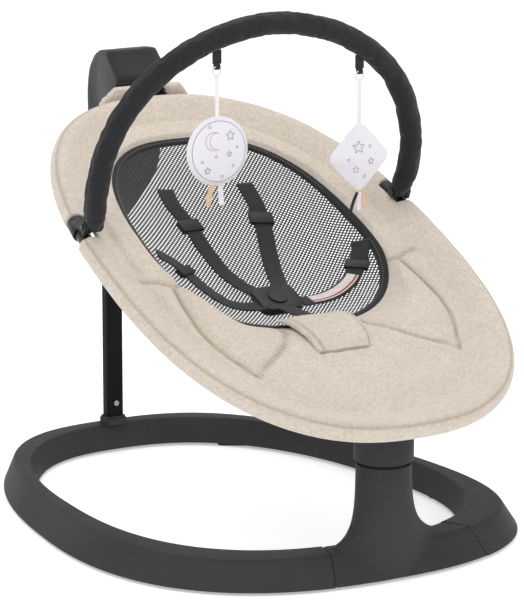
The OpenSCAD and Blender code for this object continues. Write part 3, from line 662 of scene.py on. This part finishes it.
# ---------------------------------------------------------------- seat cover
WRAP = [(-38, -5), (-26, 2), (-16, 7.5), (-6, 12.4), (3, 13.2), (10.4, 9), (14, 0), (11.2, -9), (5.0, -14)]
INSIDE = [(3.2, -12.2), (8.4, -7.0), (10.8, 0.6), (7.7, 7.9), (0.4, 10.7), (-7.4, 8.0), (-15, 1.2),
          (-26, -4.0), (-38, -9)]
GAPS = ((17.3, 27.5), (152.5, 162.7))
WING = [(160, -28), (174, -36), (181, -79), (184, -125), (180, -159), (169, -190), (153, -229)]
FOLD = [(57, -119), (64, -147), (89, -181), (121, -205), (153, -229)]
CROSS = [(161, -30), (174, -30), (193, -19), (213, -11), (262, -9)]


def seams():
    lines = []
    for s in (1, -1):
        for l in (WING, FOLD, CROSS):
            lines.append([(s * u, v) for u, v in l])
    return lines


def cover():
    phis = list(np.arange(0, 360, 1.25))
    for a, b in GAPS:
        for e in (a, b):
            phis += list(e + np.array([-0.9, -0.45, 0, 0.45, 0.9]))
    phis = np.array(sorted(set(np.round(phis, 3))))
    n_top, n_low = 26, 9
    roll = spline(WRAP, 22)
    inside = np.array(INSIDE)
    rows, hold, shade = [], [], []
    lines = seams()
    for deg in phis:
        inner = egg(scaled(E_MESH, 1.0), deg)
        p, out = tube_frame(deg)
        edge = p - out * 38
        g = 1.0
        for a, b in GAPS:
            if a - 0.5 < deg < b + 0.5:
                g = min(g, 1 - smooth01(min(deg - a + 0.5, b + 0.5 - deg)))
        t = np.linspace(0, 1, n_top) ** 1.05
        uv = inner + (edge - inner) * t[:, None]
        d = np.min([near(uv, l) for l in lines], axis=0)
        pad = 6.0 * (1 - np.exp(-(d / 8) ** 1.3)) + 0.2
        pad = pad * np.clip(np.minimum(t * 8, 1), 0.15, 1)
        # the side bolster stands a little higher between its two seams
        inwing = np.exp(-((abs(uv[:, 0]) - 158) / 34) ** 2 - ((uv[:, 1] + 100) / 75) ** 2)
        pad = pad + 7.5 * inwing * (1 - np.exp(-d / 10))
        pad = pad * (1 - smooth01((t - 0.75) / 0.25)) + 0.4
        top = np.column_stack([uv, sling(uv[:, 0], uv[:, 1]) + pad])
        rr = []
        for k, (dd, w) in enumerate(roll[1:]):
            groove = 2.6 * math.exp(-((dd - 6.5) / 2.0) ** 2) if w > 2 else 0.0
            q = p + out * (-13.5 + (dd + 13.5) * g if dd > -13.5 else dd)
            ww = (8.0 + (w - 8.0) * g if dd > -13.5 else w) - groove * g
            rr.append((q[0], q[1], ww))
        ii = []
        for dd, w in inside:
            q = p + out * (-13.8 + (dd + 13.8) * g if dd > -13.8 else dd)
            ii.append((q[0], q[1], 3.0 + (w - 3.0) * g if dd > -13.8 else w))
        tl = np.linspace(1, 0, n_low)
        low_uv = inner + (edge - inner) * tl[:, None]
        low = np.column_stack([low_uv, sling(low_uv[:, 0], low_uv[:, 1]) - 4])[1:]
        loop = np.vstack([top, rr, ii, low])
        rows.append(loop)
        h = np.zeros(len(loop))
        h[:n_top] = np.maximum(np.exp(-(d / 4.5) ** 2), np.where(t < 0.05, 1, 0))
        k0 = n_top
        for k, (dd, w) in enumerate(roll[1:]):
            h[k0 + k] = math.exp(-((dd - 7.5) / 2.5) ** 2) if w > 2 else (1.0 if w < 0 else 0.3)
        h[k0 + len(rr):] = 1
        if g < 1:
            h[n_top + 8:] = 1
        hold.append(h)
        # painted shade: the cloth is darkened along the seam lines and in the rim's piping groove
        dark = np.zeros(len(loop))
        dark[:n_top] = np.exp(-(d / 2.6) ** 2)
        dark[k0:k0 + len(rr)] = [math.exp(-((dd - 6.5) / 1.6) ** 2) * g if w > 2 else 0.0
                                 for dd, w in roll[1:]]
        shade.append(dark)
    P = seat(np.array(rows))
    ob = grid("seat_cover", P, close_i=True, close_j=True)
    paint_seam_shade(ob, shade)
    flat = P.reshape(-1, 3)
    top_mask = np.zeros(len(rows[0]), bool)
    top_mask[:n_top + 14] = True
    mask = np.tile(top_mask, len(rows))
    # slack and tension wrinkles: broad ones everywhere, finer ones by the seams and in the seat's middle
    uvw = np.array(rows).reshape(-1, 3)
    dist = np.min([near(uvw[:, :2], l) for l in lines], axis=0)
    wr = 1.0 * fbm(flat * [1, 1, 1], 60, 3) + 0.8 * np.exp(-dist / 25) * fbm(flat, 16, 2, 5)
    front = np.exp(-((uvw[:, 0]) / 95) ** 2 - ((uvw[:, 1] + 225) / 34) ** 2)
    wr += 2.6 * front * fbm(np.column_stack([uvw[:, 0] * 1.6, uvw[:, 1] * 0.45, uvw[:, 2]]), 20, 2, 9)
    c = coords(ob)
    nrm = seat(np.array([[0, 0, 1.0]])) - seat(np.array([[0, 0, 0.0]]))
    c += (wr * mask)[:, None] * nrm / 1000
    set_coords(ob, c)
    inflate(ob, np.array(hold).ravel(), pressure=5.0, cap=0.0035, frames_run=16, shrink=-0.015, bend=0.3)
    modify(ob, "SUBSURF", levels=1, render_levels=1)
    return ob


COVERED = ["rim_cover_head", "rim_cover_foot", "head_panel", "front_panel", "wing_left", "wing_right"]
cover_ob = finish_piece(cover(), "seat", "beige", COVERED)


# ---------------------------------------------------------------- mesh insert and its binding
def mesh_insert():
    rings, spokes = 30, 96
    P, UV = [], []
    for r in np.linspace(0.02, 0.985, rings):
        q = egg(scaled(E_MESH, r), np.arange(spokes) * 360 / spokes)
        w = sling(q[:, 0], q[:, 1]) - 1.2
        P.append(seat(np.column_stack([q, w])))
        UV.append(q)
    UV = np.array(UV)
    # along the cloth, distance follows the slope of the sling
    vv = np.linspace(-130, 330, 231)
    s = np.concatenate([[0], np.cumsum(np.hypot(np.diff(vv), np.diff(sling(0, vv))))])
    UV[..., 1] = np.interp(UV[..., 1], vv, s)
    ob = grid("mesh_insert", P, close_j=True, uv=UV / 1000.0, recalc=False)
    bm = bmesh.new()
    bm.from_mesh(ob.data)
    bm.verts.ensure_lookup_table()
    middle = [e for e in bm.edges if e.is_boundary and max(v.index for v in e.verts) < spokes]
    bmesh.ops.contextual_create(bm, geom=middle)
    bm.to_mesh(ob.data)
    bm.free()
    return ob


insert = finish_piece(mesh_insert(), "seat", "mesh", ["mesh_panel"])


def binding():
    deg = np.arange(0, 360, 1.5)
    P = []
    for k, up in ((0.945, -3.2), (0.95, 0.4), (0.962, 1.7), (0.985, 1.9),
                  (1.0, 1.5), (1.006, 0.0), (1.002, -3.8), (0.97, -4.2)):
        q = egg(scaled(E_MESH, k), deg)
        P.append(np.column_stack([q, sling(q[:, 0], q[:, 1]) + up]))
    P = seat(np.array(P).transpose(1, 0, 2))
    ob = grid("mesh_binding_tape", P, close_i=True, close_j=True)
    modify(ob, "SUBSURF", levels=1, render_levels=1)
    return ob


finish_piece(binding(), "seat", "binding", ["mesh_binding"])


def stitches(name, line, length, gap, r, mat, body, up=(0, 0, 1)):
    """A row of short thread stitches along a line, as one piece."""
    line = np.asarray(line, float)
    s = np.concatenate([[0], np.cumsum(np.linalg.norm(np.diff(line, axis=0), axis=1))])
    V, F = [], []
    for a in np.arange(0, s[-1] - length, length + gap):
        w = np.linspace(a, a + length, 4)
        p = np.stack([np.interp(w, s, line[:, k]) for k in range(3)], -1)
        _, side, top = frames(p, up)
        for i in range(4):
            k = (0.35, 1, 1, 0.35)[i]
            base = len(V)
            for x, y in circle(r * k, 6):
                V.append(p[i] + side[i] * x + top[i] * (y + r * 0.4 * (k - 0.35)))
            if i:
                for j in range(6):
                    F.append((base - 6 + j, base - 6 + (j + 1) % 6, base + (j + 1) % 6, base + j))
        F.append(tuple(range(base, base + 6)))
        F.append(tuple(range(base - 13, base - 19, -1)))
    ob = make(name, V, F)
    outward(ob)
    return finish_piece(ob, body, mat)


deg = np.arange(20, 340, 1.0)
q = egg(scaled(E_MESH, 0.966), deg)
seam_line = seat(np.column_stack([q, sling(q[:, 0], q[:, 1]) + 2.2]))
stitches("binding_stitches", seam_line, 2.6, 1.8, 0.28, "thread", "seat")


# ---------------------------------------------------------------- harness
SHOULDER_L = [(-68, 191, 3.5), (-71, 165, 4), (-68, 143, 4.5), (-63.5, 120, 4.5), (-62, 92, 4.5),
              (-59, 62, 4), (-54, 30, 4.5), (-44, 0, 6.5), (-34, -25, 10.5)]
SHOULDER_R = [(54, 187, 3.5), (53, 166, 4), (52, 145, 4.5), (47.5, 120, 4.5), (40, 92, 4.5), (31, 64, 4),
              (22, 35, 4.5), (13.5, 5, 6.5), (4, -25, 10.5)]
WAIST_L = [(-150, 54, 4), (-137, 49, 4.5), (-127, 39, 5), (-119.5, 26, 5), (-113, 10, 5), (-106, -6, 4.5),
           (-98, -23, 4.5), (-88, -38, 5), (-74, -49, 7), (-58, -54, 9), (-44, -55, 10.5)]
WAIST_R = [(150, 30, 4), (144, 16, 4.5), (136, 4, 5), (126.5, -8, 5), (116, -20, 5), (103, -31, 4.5),
           (82, -42, 5), (58, -50, 6.5), (34, -54, 9), (14, -55, 10.5)]
CROTCH = [(-2, -109, 8), (-4, -98, 8.5), (-8, -86, 9.5), (-12, -76, 10.5), (-14, -66, 10.5)]


def strap_line(route, n=70):
    r = spline(np.array(route, float), n)
    p = np.column_stack([r[:, 0], r[:, 1], sling(r[:, 0], r[:, 1]) + r[:, 2]])
    up = sling_up(r[:, 0], r[:, 1])
    P = seat(p)
    U = seat(p + up) - P
    return P, U


def strap(name, route, node, half=12.5, thick=1.7, mat="web", lift=0.0, shift=0.0, cut=(0, 1)):
    P, U = strap_line(route)
    a, b = int(cut[0] * len(P)), int(cut[1] * len(P))
    P, U = P[a:b], U[a:b]
    _, s, _ = frames(P, U)
    wob = fbm(P, 30, 2, 3)
    P = P + U * (lift + 0.4 * wob)[:, None] + s * shift
    ob = tube(name, P, pad_section(half, thick), U)
    return finish_piece(ob, "seat", mat, [node] if node else [])


strap("shoulder_webbing_left", SHOULDER_L, "shoulder_strap_left")
strap("shoulder_webbing_right", SHOULDER_R, "shoulder_strap_right")
strap("waist_webbing_left", WAIST_L, "waist_strap_left")
strap("waist_webbing_right", WAIST_R, "waist_strap_right")
strap("waist_lining_right", WAIST_R, None, 8.5, 0.8, "web_white", 1.5, 0.0, (0.38, 0.9))
strap("waist_lining_left", WAIST_L, None, 8.5, 0.8, "web_white", -1.4, 0.0, (0.38, 0.9))
strap("crotch_webbing", CROTCH, "crotch_strap")


# ---------------------------------------------------------------- toy bar
LEAN = math.radians(10.7)
BAR_PIVOT = np.array([236.0, -13.3, 421.9])
BAR_RISE = 256
SLEEVE_R = 15


def bar_point(deg):
    a = np.radians(np.asarray(deg, float))
    h = BAR_RISE * np.sin(a) ** 1.077
    c = np.cos(a)
    x = np.sign(c) * BAR_PIVOT[0] * abs(c) ** 1.077 * (1 + 0.244 * h / BAR_RISE)
    foot = 1 - np.exp(-h / 20)
    y = BAR_PIVOT[1] - h * math.sin(LEAN) - 13.9 * foot
    z = BAR_PIVOT[2] + h * math.cos(LEAN) + 3.3 * foot
    return np.stack([x, y, z], -1)


def sleeve():
    # the fabric runs down over each hub as a narrow cuff
    low = np.array([0, 0.53, -0.848])
    first, last = BAR_PIVOT, BAR_PIVOT * [-1, 1, 1]
    path = np.vstack([[first + low * 3], bar_point(np.linspace(2.2, 177.8, 90)), [last + low * 3]])
    path = spline(path, 240)
    s = np.concatenate([[0], np.cumsum(np.linalg.norm(np.diff(path, axis=0), axis=1))])
    end = np.minimum(s, s[-1] - s)
    r = SLEEVE_R - 1.0 * np.exp(-((end - 24) / 2.2) ** 2) - 4.5 * np.exp(-(end / 13) ** 2)
    n = 28
    a = np.linspace(0, 2 * math.pi, n, endpoint=False)
    sec = np.stack([r[:, None] * np.cos(a), r[:, None] * np.sin(a)], -1)
    up = np.array([0, math.cos(LEAN), math.sin(LEAN)])
    _, side, top = frames(path, up)
    P = path[:, None] + sec[..., :1] * side[:, None] + sec[..., 1:] * top[:, None]
    wr = fbm(P.reshape(-1, 3), 26, 3, 2).reshape(P.shape[:2]) * 0.7
    # the lengthwise seam lies on the inner side of the arch
    wr -= 1.0 * np.exp(-((np.abs(a - math.pi)) / 0.16) ** 2)[None]
    out = (P - path[:, None])
    out /= np.linalg.norm(out, axis=-1, keepdims=True)
    P = P + out * wr[..., None]
    ends = [path[:1, None] + (P[:1] - path[:1, None]) * 0.45,
            path[-1:, None] + (P[-1:] - path[-1:, None]) * 0.45]
    P = np.concatenate([ends[0], P, ends[1]])
    ob = grid("toy_bar_fabric", P, close_j=True, caps=True)
    hold = np.zeros(P.shape[:2])
    hold[:6] = hold[-6:] = 1
    hold[:, n // 2] = 1
    hold[::23] = np.maximum(hold[::23], 0.5)
    inflate(ob, hold.ravel(), pressure=2.0, cap=0.0012, frames_run=14, shrink=-0.02, bend=0.2)
    modify(ob, "SUBSURF", levels=1, render_levels=1)
    return ob


sleeve_ob = finish_piece(sleeve(), "toy_bar", "sleeve", ["toy_bar_sleeve"])


# ---------------------------------------------------------------- toys
def bar_at(x):
    t = np.linspace(10, 170, 4000)
    p = bar_point(t)
    return p[np.argmin(abs(p[:, 0] - x))]


def toy_top(x):
    return bar_at(x) - np.array([0, 0, 37 + 12 - 1.5 + 60 - 6 + 0.3])


def disc_toy():
    c = toy_top(-83) - np.array([0, 0, 46])
    n = 96
    a = np.linspace(0, 2 * math.pi, n, endpoint=False)
    rings = [(46, 0.0), (45.4, -0.9), (44, -1.1), (42, -2.0), (36, -3.9), (28, -5.2), (18, -6.2),
             (9, -6.7), (1, -6.9)]
    P = []
    for r, y in rings[::-1]:
        P.append(np.stack([c[0] + r * np.cos(a), np.full(n, c[1] + y), c[2] + r * np.sin(a)], -1))
    for r, y in rings[1:]:
        P.append(np.stack([c[0] + r * np.cos(a), np.full(n, c[1] - y), c[2] + r * np.sin(a)], -1))
    P = np.array(P)
    ob = grid("disc_toy", P, close_j=True, caps=True)
    hold = np.zeros(P.shape[:2])
    hold[6:11] = 1
    inflate(ob, hold.ravel(), pressure=2.5, cap=0.0025, frames_run=12, shrink=-0.02)
    modify(ob, "SUBSURF", levels=1, render_levels=1)
    return ob, c


def diamond_toy():
    c = toy_top(138) - np.array([0, 0, 36 * 1.414])
    P = []
    n = 96
    a = np.linspace(0, 2 * math.pi, n, endpoint=False)
    e = 7.0
    rr = (abs(np.cos(a)) ** e + abs(np.sin(a)) ** e) ** (-1 / e)
    x, z = 36 * rr * np.cos(a), 36 * rr * np.sin(a)
    s = math.sqrt(0.5)
    X, Z = (x - z) * s, (x + z) * s
    rings = [(1, 0.0), (0.985, -0.9), (0.95, -1.1), (0.9, -1.9), (0.75, -3.2), (0.55, -4.0), (0.3, -4.4),
             (0.03, -4.5)]
    for k, y in rings[::-1]:
        P.append(np.stack([c[0] + k * X, np.full(n, c[1] + y), c[2] + k * Z], -1))
    for k, y in rings[1:]:
        P.append(np.stack([c[0] + k * X, np.full(n, c[1] - y), c[2] + k * Z], -1))
    P = np.array(P)
    ob = grid("diamond_toy_pad", P, close_j=True, caps=True)
    hold = np.zeros(P.shape[:2])
    hold[5:10] = 1
    inflate(ob, hold.ravel(), pressure=2.5, cap=0.0025, frames_run=12, shrink=-0.02)
    modify(ob, "SUBSURF", levels=1, render_levels=1)
    return ob, c


disc_ob, disc_c = disc_toy()
finish_piece(disc_ob, "hanging_disc", "white", ["round_toy"])
dia_ob, dia_c = diamond_toy()
finish_piece(dia_ob, "hanging_diamond", "white", ["diamond_toy"])


def drawn(name, lines, surface, mat, body, width=0.7):
    """Thin printed outlines lying on a toy's front and back faces, as flat bands."""
    V, F = [], []
    for line in lines:
        p = np.asarray(line, float)
        t = np.gradient(p, axis=0)
        t /= np.maximum(np.linalg.norm(t, axis=1, keepdims=True), 1e-9)
        nrm = np.stack([-t[:, 1], t[:, 0]], -1) * width / 2
        for face in (-1, 1):
            base = len(V)
            for a in (p + nrm, p - nrm):
                for x, z in a:
                    V.append(surface(x, z, face))
            m = len(p)
            for i in range(m - 1):
                F.append((base + i, base + i + 1, base + m + i + 1, base + m + i))
    ob = make(name, V, F)
    return finish_piece(ob, body, mat)


def arc(cx, cz, r, a, b, n=24):
    w = np.radians(np.linspace(a, b, n))
    return np.stack([cx + r * np.cos(w), cz + r * np.sin(w)], -1)


def star(cx, cz, r, k=0.45):
    a = np.radians(90 + np.arange(11) * 36)
    rad = np.where(np.arange(11) % 2 == 0, r, r * k)
    p = np.stack([cx + rad * np.cos(a), cz + rad * np.sin(a)], -1)
    return np.concatenate([np.linspace(p[i], p[i + 1], 4) for i in range(10)])


def surface_of(ob, c):
    """Points on the toy's front (-1) or back (1) face, found on its mesh."""
    dg = bpy.context.evaluated_depsgraph_get()
    ev = ob.evaluated_get(dg)

    def at(x, z, face):
        o = Vector(((c[0] + x) / 1000, (c[1] + face * 40) / 1000, (c[2] + z) / 1000))
        hit, loc, _, _ = ev.ray_cast(ev.matrix_world.inverted() @ o, Vector((0, -face, 0)))
        y = loc.y * 1000 if hit else c[1] + face * 5
        return (c[0] + x, y + face * 0.25, c[2] + z)
    return at


bpy.context.view_layer.update()
s_disc, s_dia = surface_of(disc_ob, disc_c), surface_of(dia_ob, dia_c)
crescent = np.concatenate([arc(-9, 14, 12, 60, 300, 30), arc(-4, 14, 11, 285, 75, 30)])
dots = [arc(x, z, 1.6, 0, 360, 14)
        for x, z in ((20, -20), (-26, -12), (4, -33), (26, 4), (-14, 33), (-6, -6))]
drawn("disc_print", [star(16, 20, 7), star(-18, -24, 5), star(14, -4, 4), arc(0, 0, 40, 0, 360, 90)] + dots,
      s_disc, "print", "hanging_disc", 0.8)
drawn("disc_print_rose", [crescent], s_disc, "print_pink", "hanging_disc", 0.9)
dots = [arc(x, z, 1.8, 0, 360, 14) for x, z in ((-20, -2), (6, -26), (14, 14))]
drawn("diamond_print", [star(-4, 14, 9), star(15, -6, 5)] + dots, s_dia, "print", "hanging_diamond", 0.8)
drawn("diamond_print_rose", [star(-8, -16, 5)], s_dia, "print_pink", "hanging_diamond", 0.9)


def tag(name, x, y, z, lean, length, mat, body, width=8.0):
    n = 12
    t = np.linspace(0, 1, n)
    a = math.radians(lean)
    path = np.stack([x - np.sin(a) * length * t, y + 1.5 * np.sin(t * 3), z - np.cos(a) * length * t], -1)
    ob = tube(name, path, pad_section(width / 2, 0.7, 4), (0, -1, 0))
    return finish_piece(ob, body, mat)


tag("disc_tag_peach", disc_c[0] - 7, disc_c[1], disc_c[2] - 43, 14, 30, "peach", "hanging_disc")
tag("disc_tag_white", disc_c[0] + 5, disc_c[1], disc_c[2] - 43, -4, 30, "white", "hanging_disc")
tag("diamond_tag_brown", dia_c[0] - 2, dia_c[1], dia_c[2] - 48, 22, 27, "brown", "hanging_diamond", 5)
tag("diamond_tag_white", dia_c[0] + 2, dia_c[1], dia_c[2] - 48, 2, 26, "white", "hanging_diamond", 6)
tag("diamond_tag_peach", dia_c[0] + 7, dia_c[1], dia_c[2] - 46, -8, 22, "peach", "hanging_diamond", 6)


# ---------------------------------------------------------------- hood, head tab, crotch bridge
def bez(p, n):
    t = np.linspace(0, 1, n)[:, None]
    p = np.array(p, float)
    return (1 - t) ** 3 * p[0] + 3 * (1 - t) ** 2 * t * p[1] + 3 * (1 - t) * t * t * p[2] + t ** 3 * p[3]


HOOD_MIDDLE = np.array([335, 480.0])


def hood_half(y, z):
    """Half width of the hood: it narrows to the back and towards its lower end."""
    return np.minimum(np.interp(y, [250, 384], [46, 30]),
                      np.interp(z, [345, 375, 399, 450, 500, 600], [18, 26, 34, 47, 52, 60]))


def hood():
    """Fabric hood: its side outline carried across from one gathered side face to the other."""
    outline = spline(np.vstack([[[384, 345]], np.linspace([384, 380], [384, 520], 8),
                                bez([[384, 535], [384, 568], [355, 593], [322, 593]], 12),
                                bez([[308, 593], [298, 582], [288, 574], [273, 563]], 8),
                                [[269, 556], [284, 549], [289, 536]],
                                bez([[291, 520], [292, 440], [310, 390], [359, 345]], 16)]), 110, closed=True)
    hw = hood_half(outline[:, 0], outline[:, 1])

    def slice_at(x, k):
        yz = HOOD_MIDDLE + (outline - HOOD_MIDDLE) * k
        return np.column_stack([x, yz])

    side = np.linspace(0.02, 0.93, 10)
    left = [slice_at(-hw * 0.995 + 3.0 * (1 - k), k) for k in side]
    right = [slice_at(hw * 0.995 - 3.0 * (1 - k), k) for k in side[::-1]]
    across = [slice_at(hw * x, 0.985 if abs(x) == 0.985 else 1.0)
              for x in (-0.985, -0.93, -0.6, -0.3, 0, 0.3, 0.6, 0.93, 0.985)]
    P = np.array(left + across + right)
    wrinkles = fbm(P.reshape(-1, 3) * [1, 1, 0.5], 34, 3, 11).reshape(P.shape[:2]) * 1.2
    P[..., 0] += np.sign(P[..., 0]) * (abs(P[..., 0]) > 0.9 * hw[None]) * wrinkles
    return grid("hood_fabric", P, close_j=True, caps=True)


hood_ob = finish_piece(hood(), "base", "black_cloth", ["rear_hood"])

tab = soft_copy("head_tab_pad", ["head_tab"], 0.0035, 4.0, 0.003)
finish_piece(tab, "seat", "beige", ["head_tab"])


# rows of (v, left edge, right edge, height above the sling)
BRIDGE = [(-101, -52, 46, 7.5), (-114, -53, 46, 11), (-132, -53, 44, 13.5), (-152, -53, 42, 13.5),
          (-172, -52, 39, 12), (-192, -51, 36, 8.5), (-208, -50, 34, 4.6)]


def bridge():
    table = np.array(BRIDGE, float)
    v = np.linspace(-100, -209, 44)
    rows, shade = [], []
    n = 44
    a = np.linspace(0, 2 * math.pi, n, endpoint=False)
    for k, vv in enumerate(v):
        left, right, h = [np.interp(-vv, -table[:, 0], table[:, i]) for i in (1, 2, 3)]
        e = min(k, len(v) - 1 - k)
        half = (right - left) / 2 - 1.5 * math.exp(-e / 1.5)
        th = 4.6 * (1 - 0.6 * math.exp(-e / 1.4))
        x = half * np.sign(np.cos(a)) * abs(np.cos(a)) ** 0.3
        z = th * np.sign(np.sin(a)) * abs(np.sin(a)) ** 0.6
        edge = half - abs(x)
        z = z - np.sign(z) * 1.5 * np.exp(-((edge - 7) / 1.6) ** 2)
        pucker = math.exp(-(len(v) - 1 - k) / 7) * 1.6 * np.sin(x * 0.34 + np.sin(x * 0.11) * 2)
        w = sling(0, vv) + h + z + np.where(z > 0, pucker, 0)
        rows.append(np.column_stack([x + (left + right) / 2, np.full(n, vv), w]))
        # painted shade along the pad's edge seam groove and at its end seam
        end_seam_shade = 0.9 if k >= len(v) - 2 else 0.0
        shade.append(np.where(z > 0, np.exp(-((edge - 7) / 1.5) ** 2), 0.0) * 0.8 + end_seam_shade)
    P = seat(np.array(rows))
    ob = grid("crotch_bridge_pad", P, close_j=True, caps=True)
    paint_seam_shade(ob, np.clip(shade, 0, 1))
    hold = np.zeros(P.shape[:2])
    hold[:2] = hold[-2:] = 1
    hold[:, [0, n // 2]] = 1
    inflate(ob, hold.ravel(), pressure=3.0, cap=0.002, frames_run=14, shrink=-0.02)
    modify(ob, "SUBSURF", levels=1, render_levels=1)
    return ob


bridge_ob = finish_piece(bridge(), "seat", "beige", ["crotch_bridge"])

# ---------------------------------------------------------------- carried-over CAD nodes
BEVEL = {"collar": 1.2, "post_shoe": 0.8, "buckle_body": 1.6, "bar_hubs": 0.8, "bar_bracket_left": 1.0,
         "bar_bracket_right": 1.0, "front_bracket": 0.8, "rear_bracket": 0.8, "shoulder_adjuster_left": 0.7,
         "shoulder_adjuster_right": 0.7, "waist_adjuster_left": 0.6, "waist_adjuster_right": 0.6,
         "base_feet": 0.4}
LOOK = {"charcoal_plastic": "plastic", "black_plastic": "plastic_small", "black_metal": "post",
        "steel": "steel", "rubber": "rubber", "beige_fabric": "beige", "black_fabric": "black_cloth",
        "black_mesh": "mesh", "black_webbing": "web", "white_fabric": "white", "white_plastic": "ring"}
slots = {r["node"]: r["material_slot"] for r in frame["record"]["subparts"]}
for name, ob in NODES.items():
    look = LOOK.get(slots.get(name), "plastic")
    if name.startswith("seat_tube") or name in ("tube_joiners", "toy_bar_tube", "bar_pivot_pins"):
        look = "tube"
    ob.data.materials.clear()
    ob.data.materials.append(MAT[look])
    if ob.hide_render:
        continue
    modify(ob, "WELD", merge_threshold=0.00001)
    if name in BEVEL:
        modify(ob, "BEVEL", width=BEVEL[name] / 1000, segments=3, limit_method="ANGLE",
               angle_limit=math.radians(35))
    ob.data.polygons.foreach_set("use_smooth", [True] * len(ob.data.polygons))
    modify(ob, "EDGE_SPLIT", split_angle=math.radians(32))

# ---------------------------------------------------------------- floor and light
# the floor turns up into a backdrop: (y, z) points in millimetres
SWEEP = [(-9000, 0), (0, 0), (6000, 0), (8000, 150), (9500, 900), (10400, 2400), (10800, 4500), (10800, 9000)]
floor = grid("floor", [[(x, y, z) for x in np.linspace(-9000, 9000, 8)] for y, z in SWEEP], recalc=False)
fm = Nodes("pale_floor")
pale = [(0.3, (0.86, 0.86, 0.86, 1)), (0.7, (0.9, 0.9, 0.9, 1))]
fm.set(Base_Color=fm.ramp(fm.noise(fm.place(), 3, 2), pale), Roughness=0.9, Emission_Color=(1, 1, 1, 1),
       Emission_Strength=0.42)
floor.data.materials.append(fm.mat)
modify(floor, "SUBSURF", levels=2, render_levels=2)

world = bpy.data.worlds.new("studio")
scene.world = world
world.use_nodes = True
world.node_tree.nodes["Background"].inputs[0].default_value = (1, 1, 1, 1)
world.node_tree.nodes["Background"].inputs[1].default_value = 0.62


def area(name, loc, size, power, target=(0, 0, 0.3)):
    d = bpy.data.lights.new(name, "AREA")
    d.shape = "RECTANGLE"
    d.size, d.size_y, d.energy = size[0], size[1], power
    o = bpy.data.objects.new(name, d)
    scene.collection.objects.link(o)
    o.location = loc
    o.rotation_mode = "QUATERNION"
    o.rotation_quaternion = (Vector(target) - Vector(loc)).to_track_quat("-Z", "Y")


area("key", (-1.6, -1.6, 3.0), (2.4, 2.4), 42)
area("fill", (2.6, -1.8, 1.8), (2.0, 2.0), 16)
area("top", (0.2, 0.8, 3.2), (3.0, 2.0), 30)
scene.view_settings.view_transform = "Standard"
scene.view_settings.look = "None"
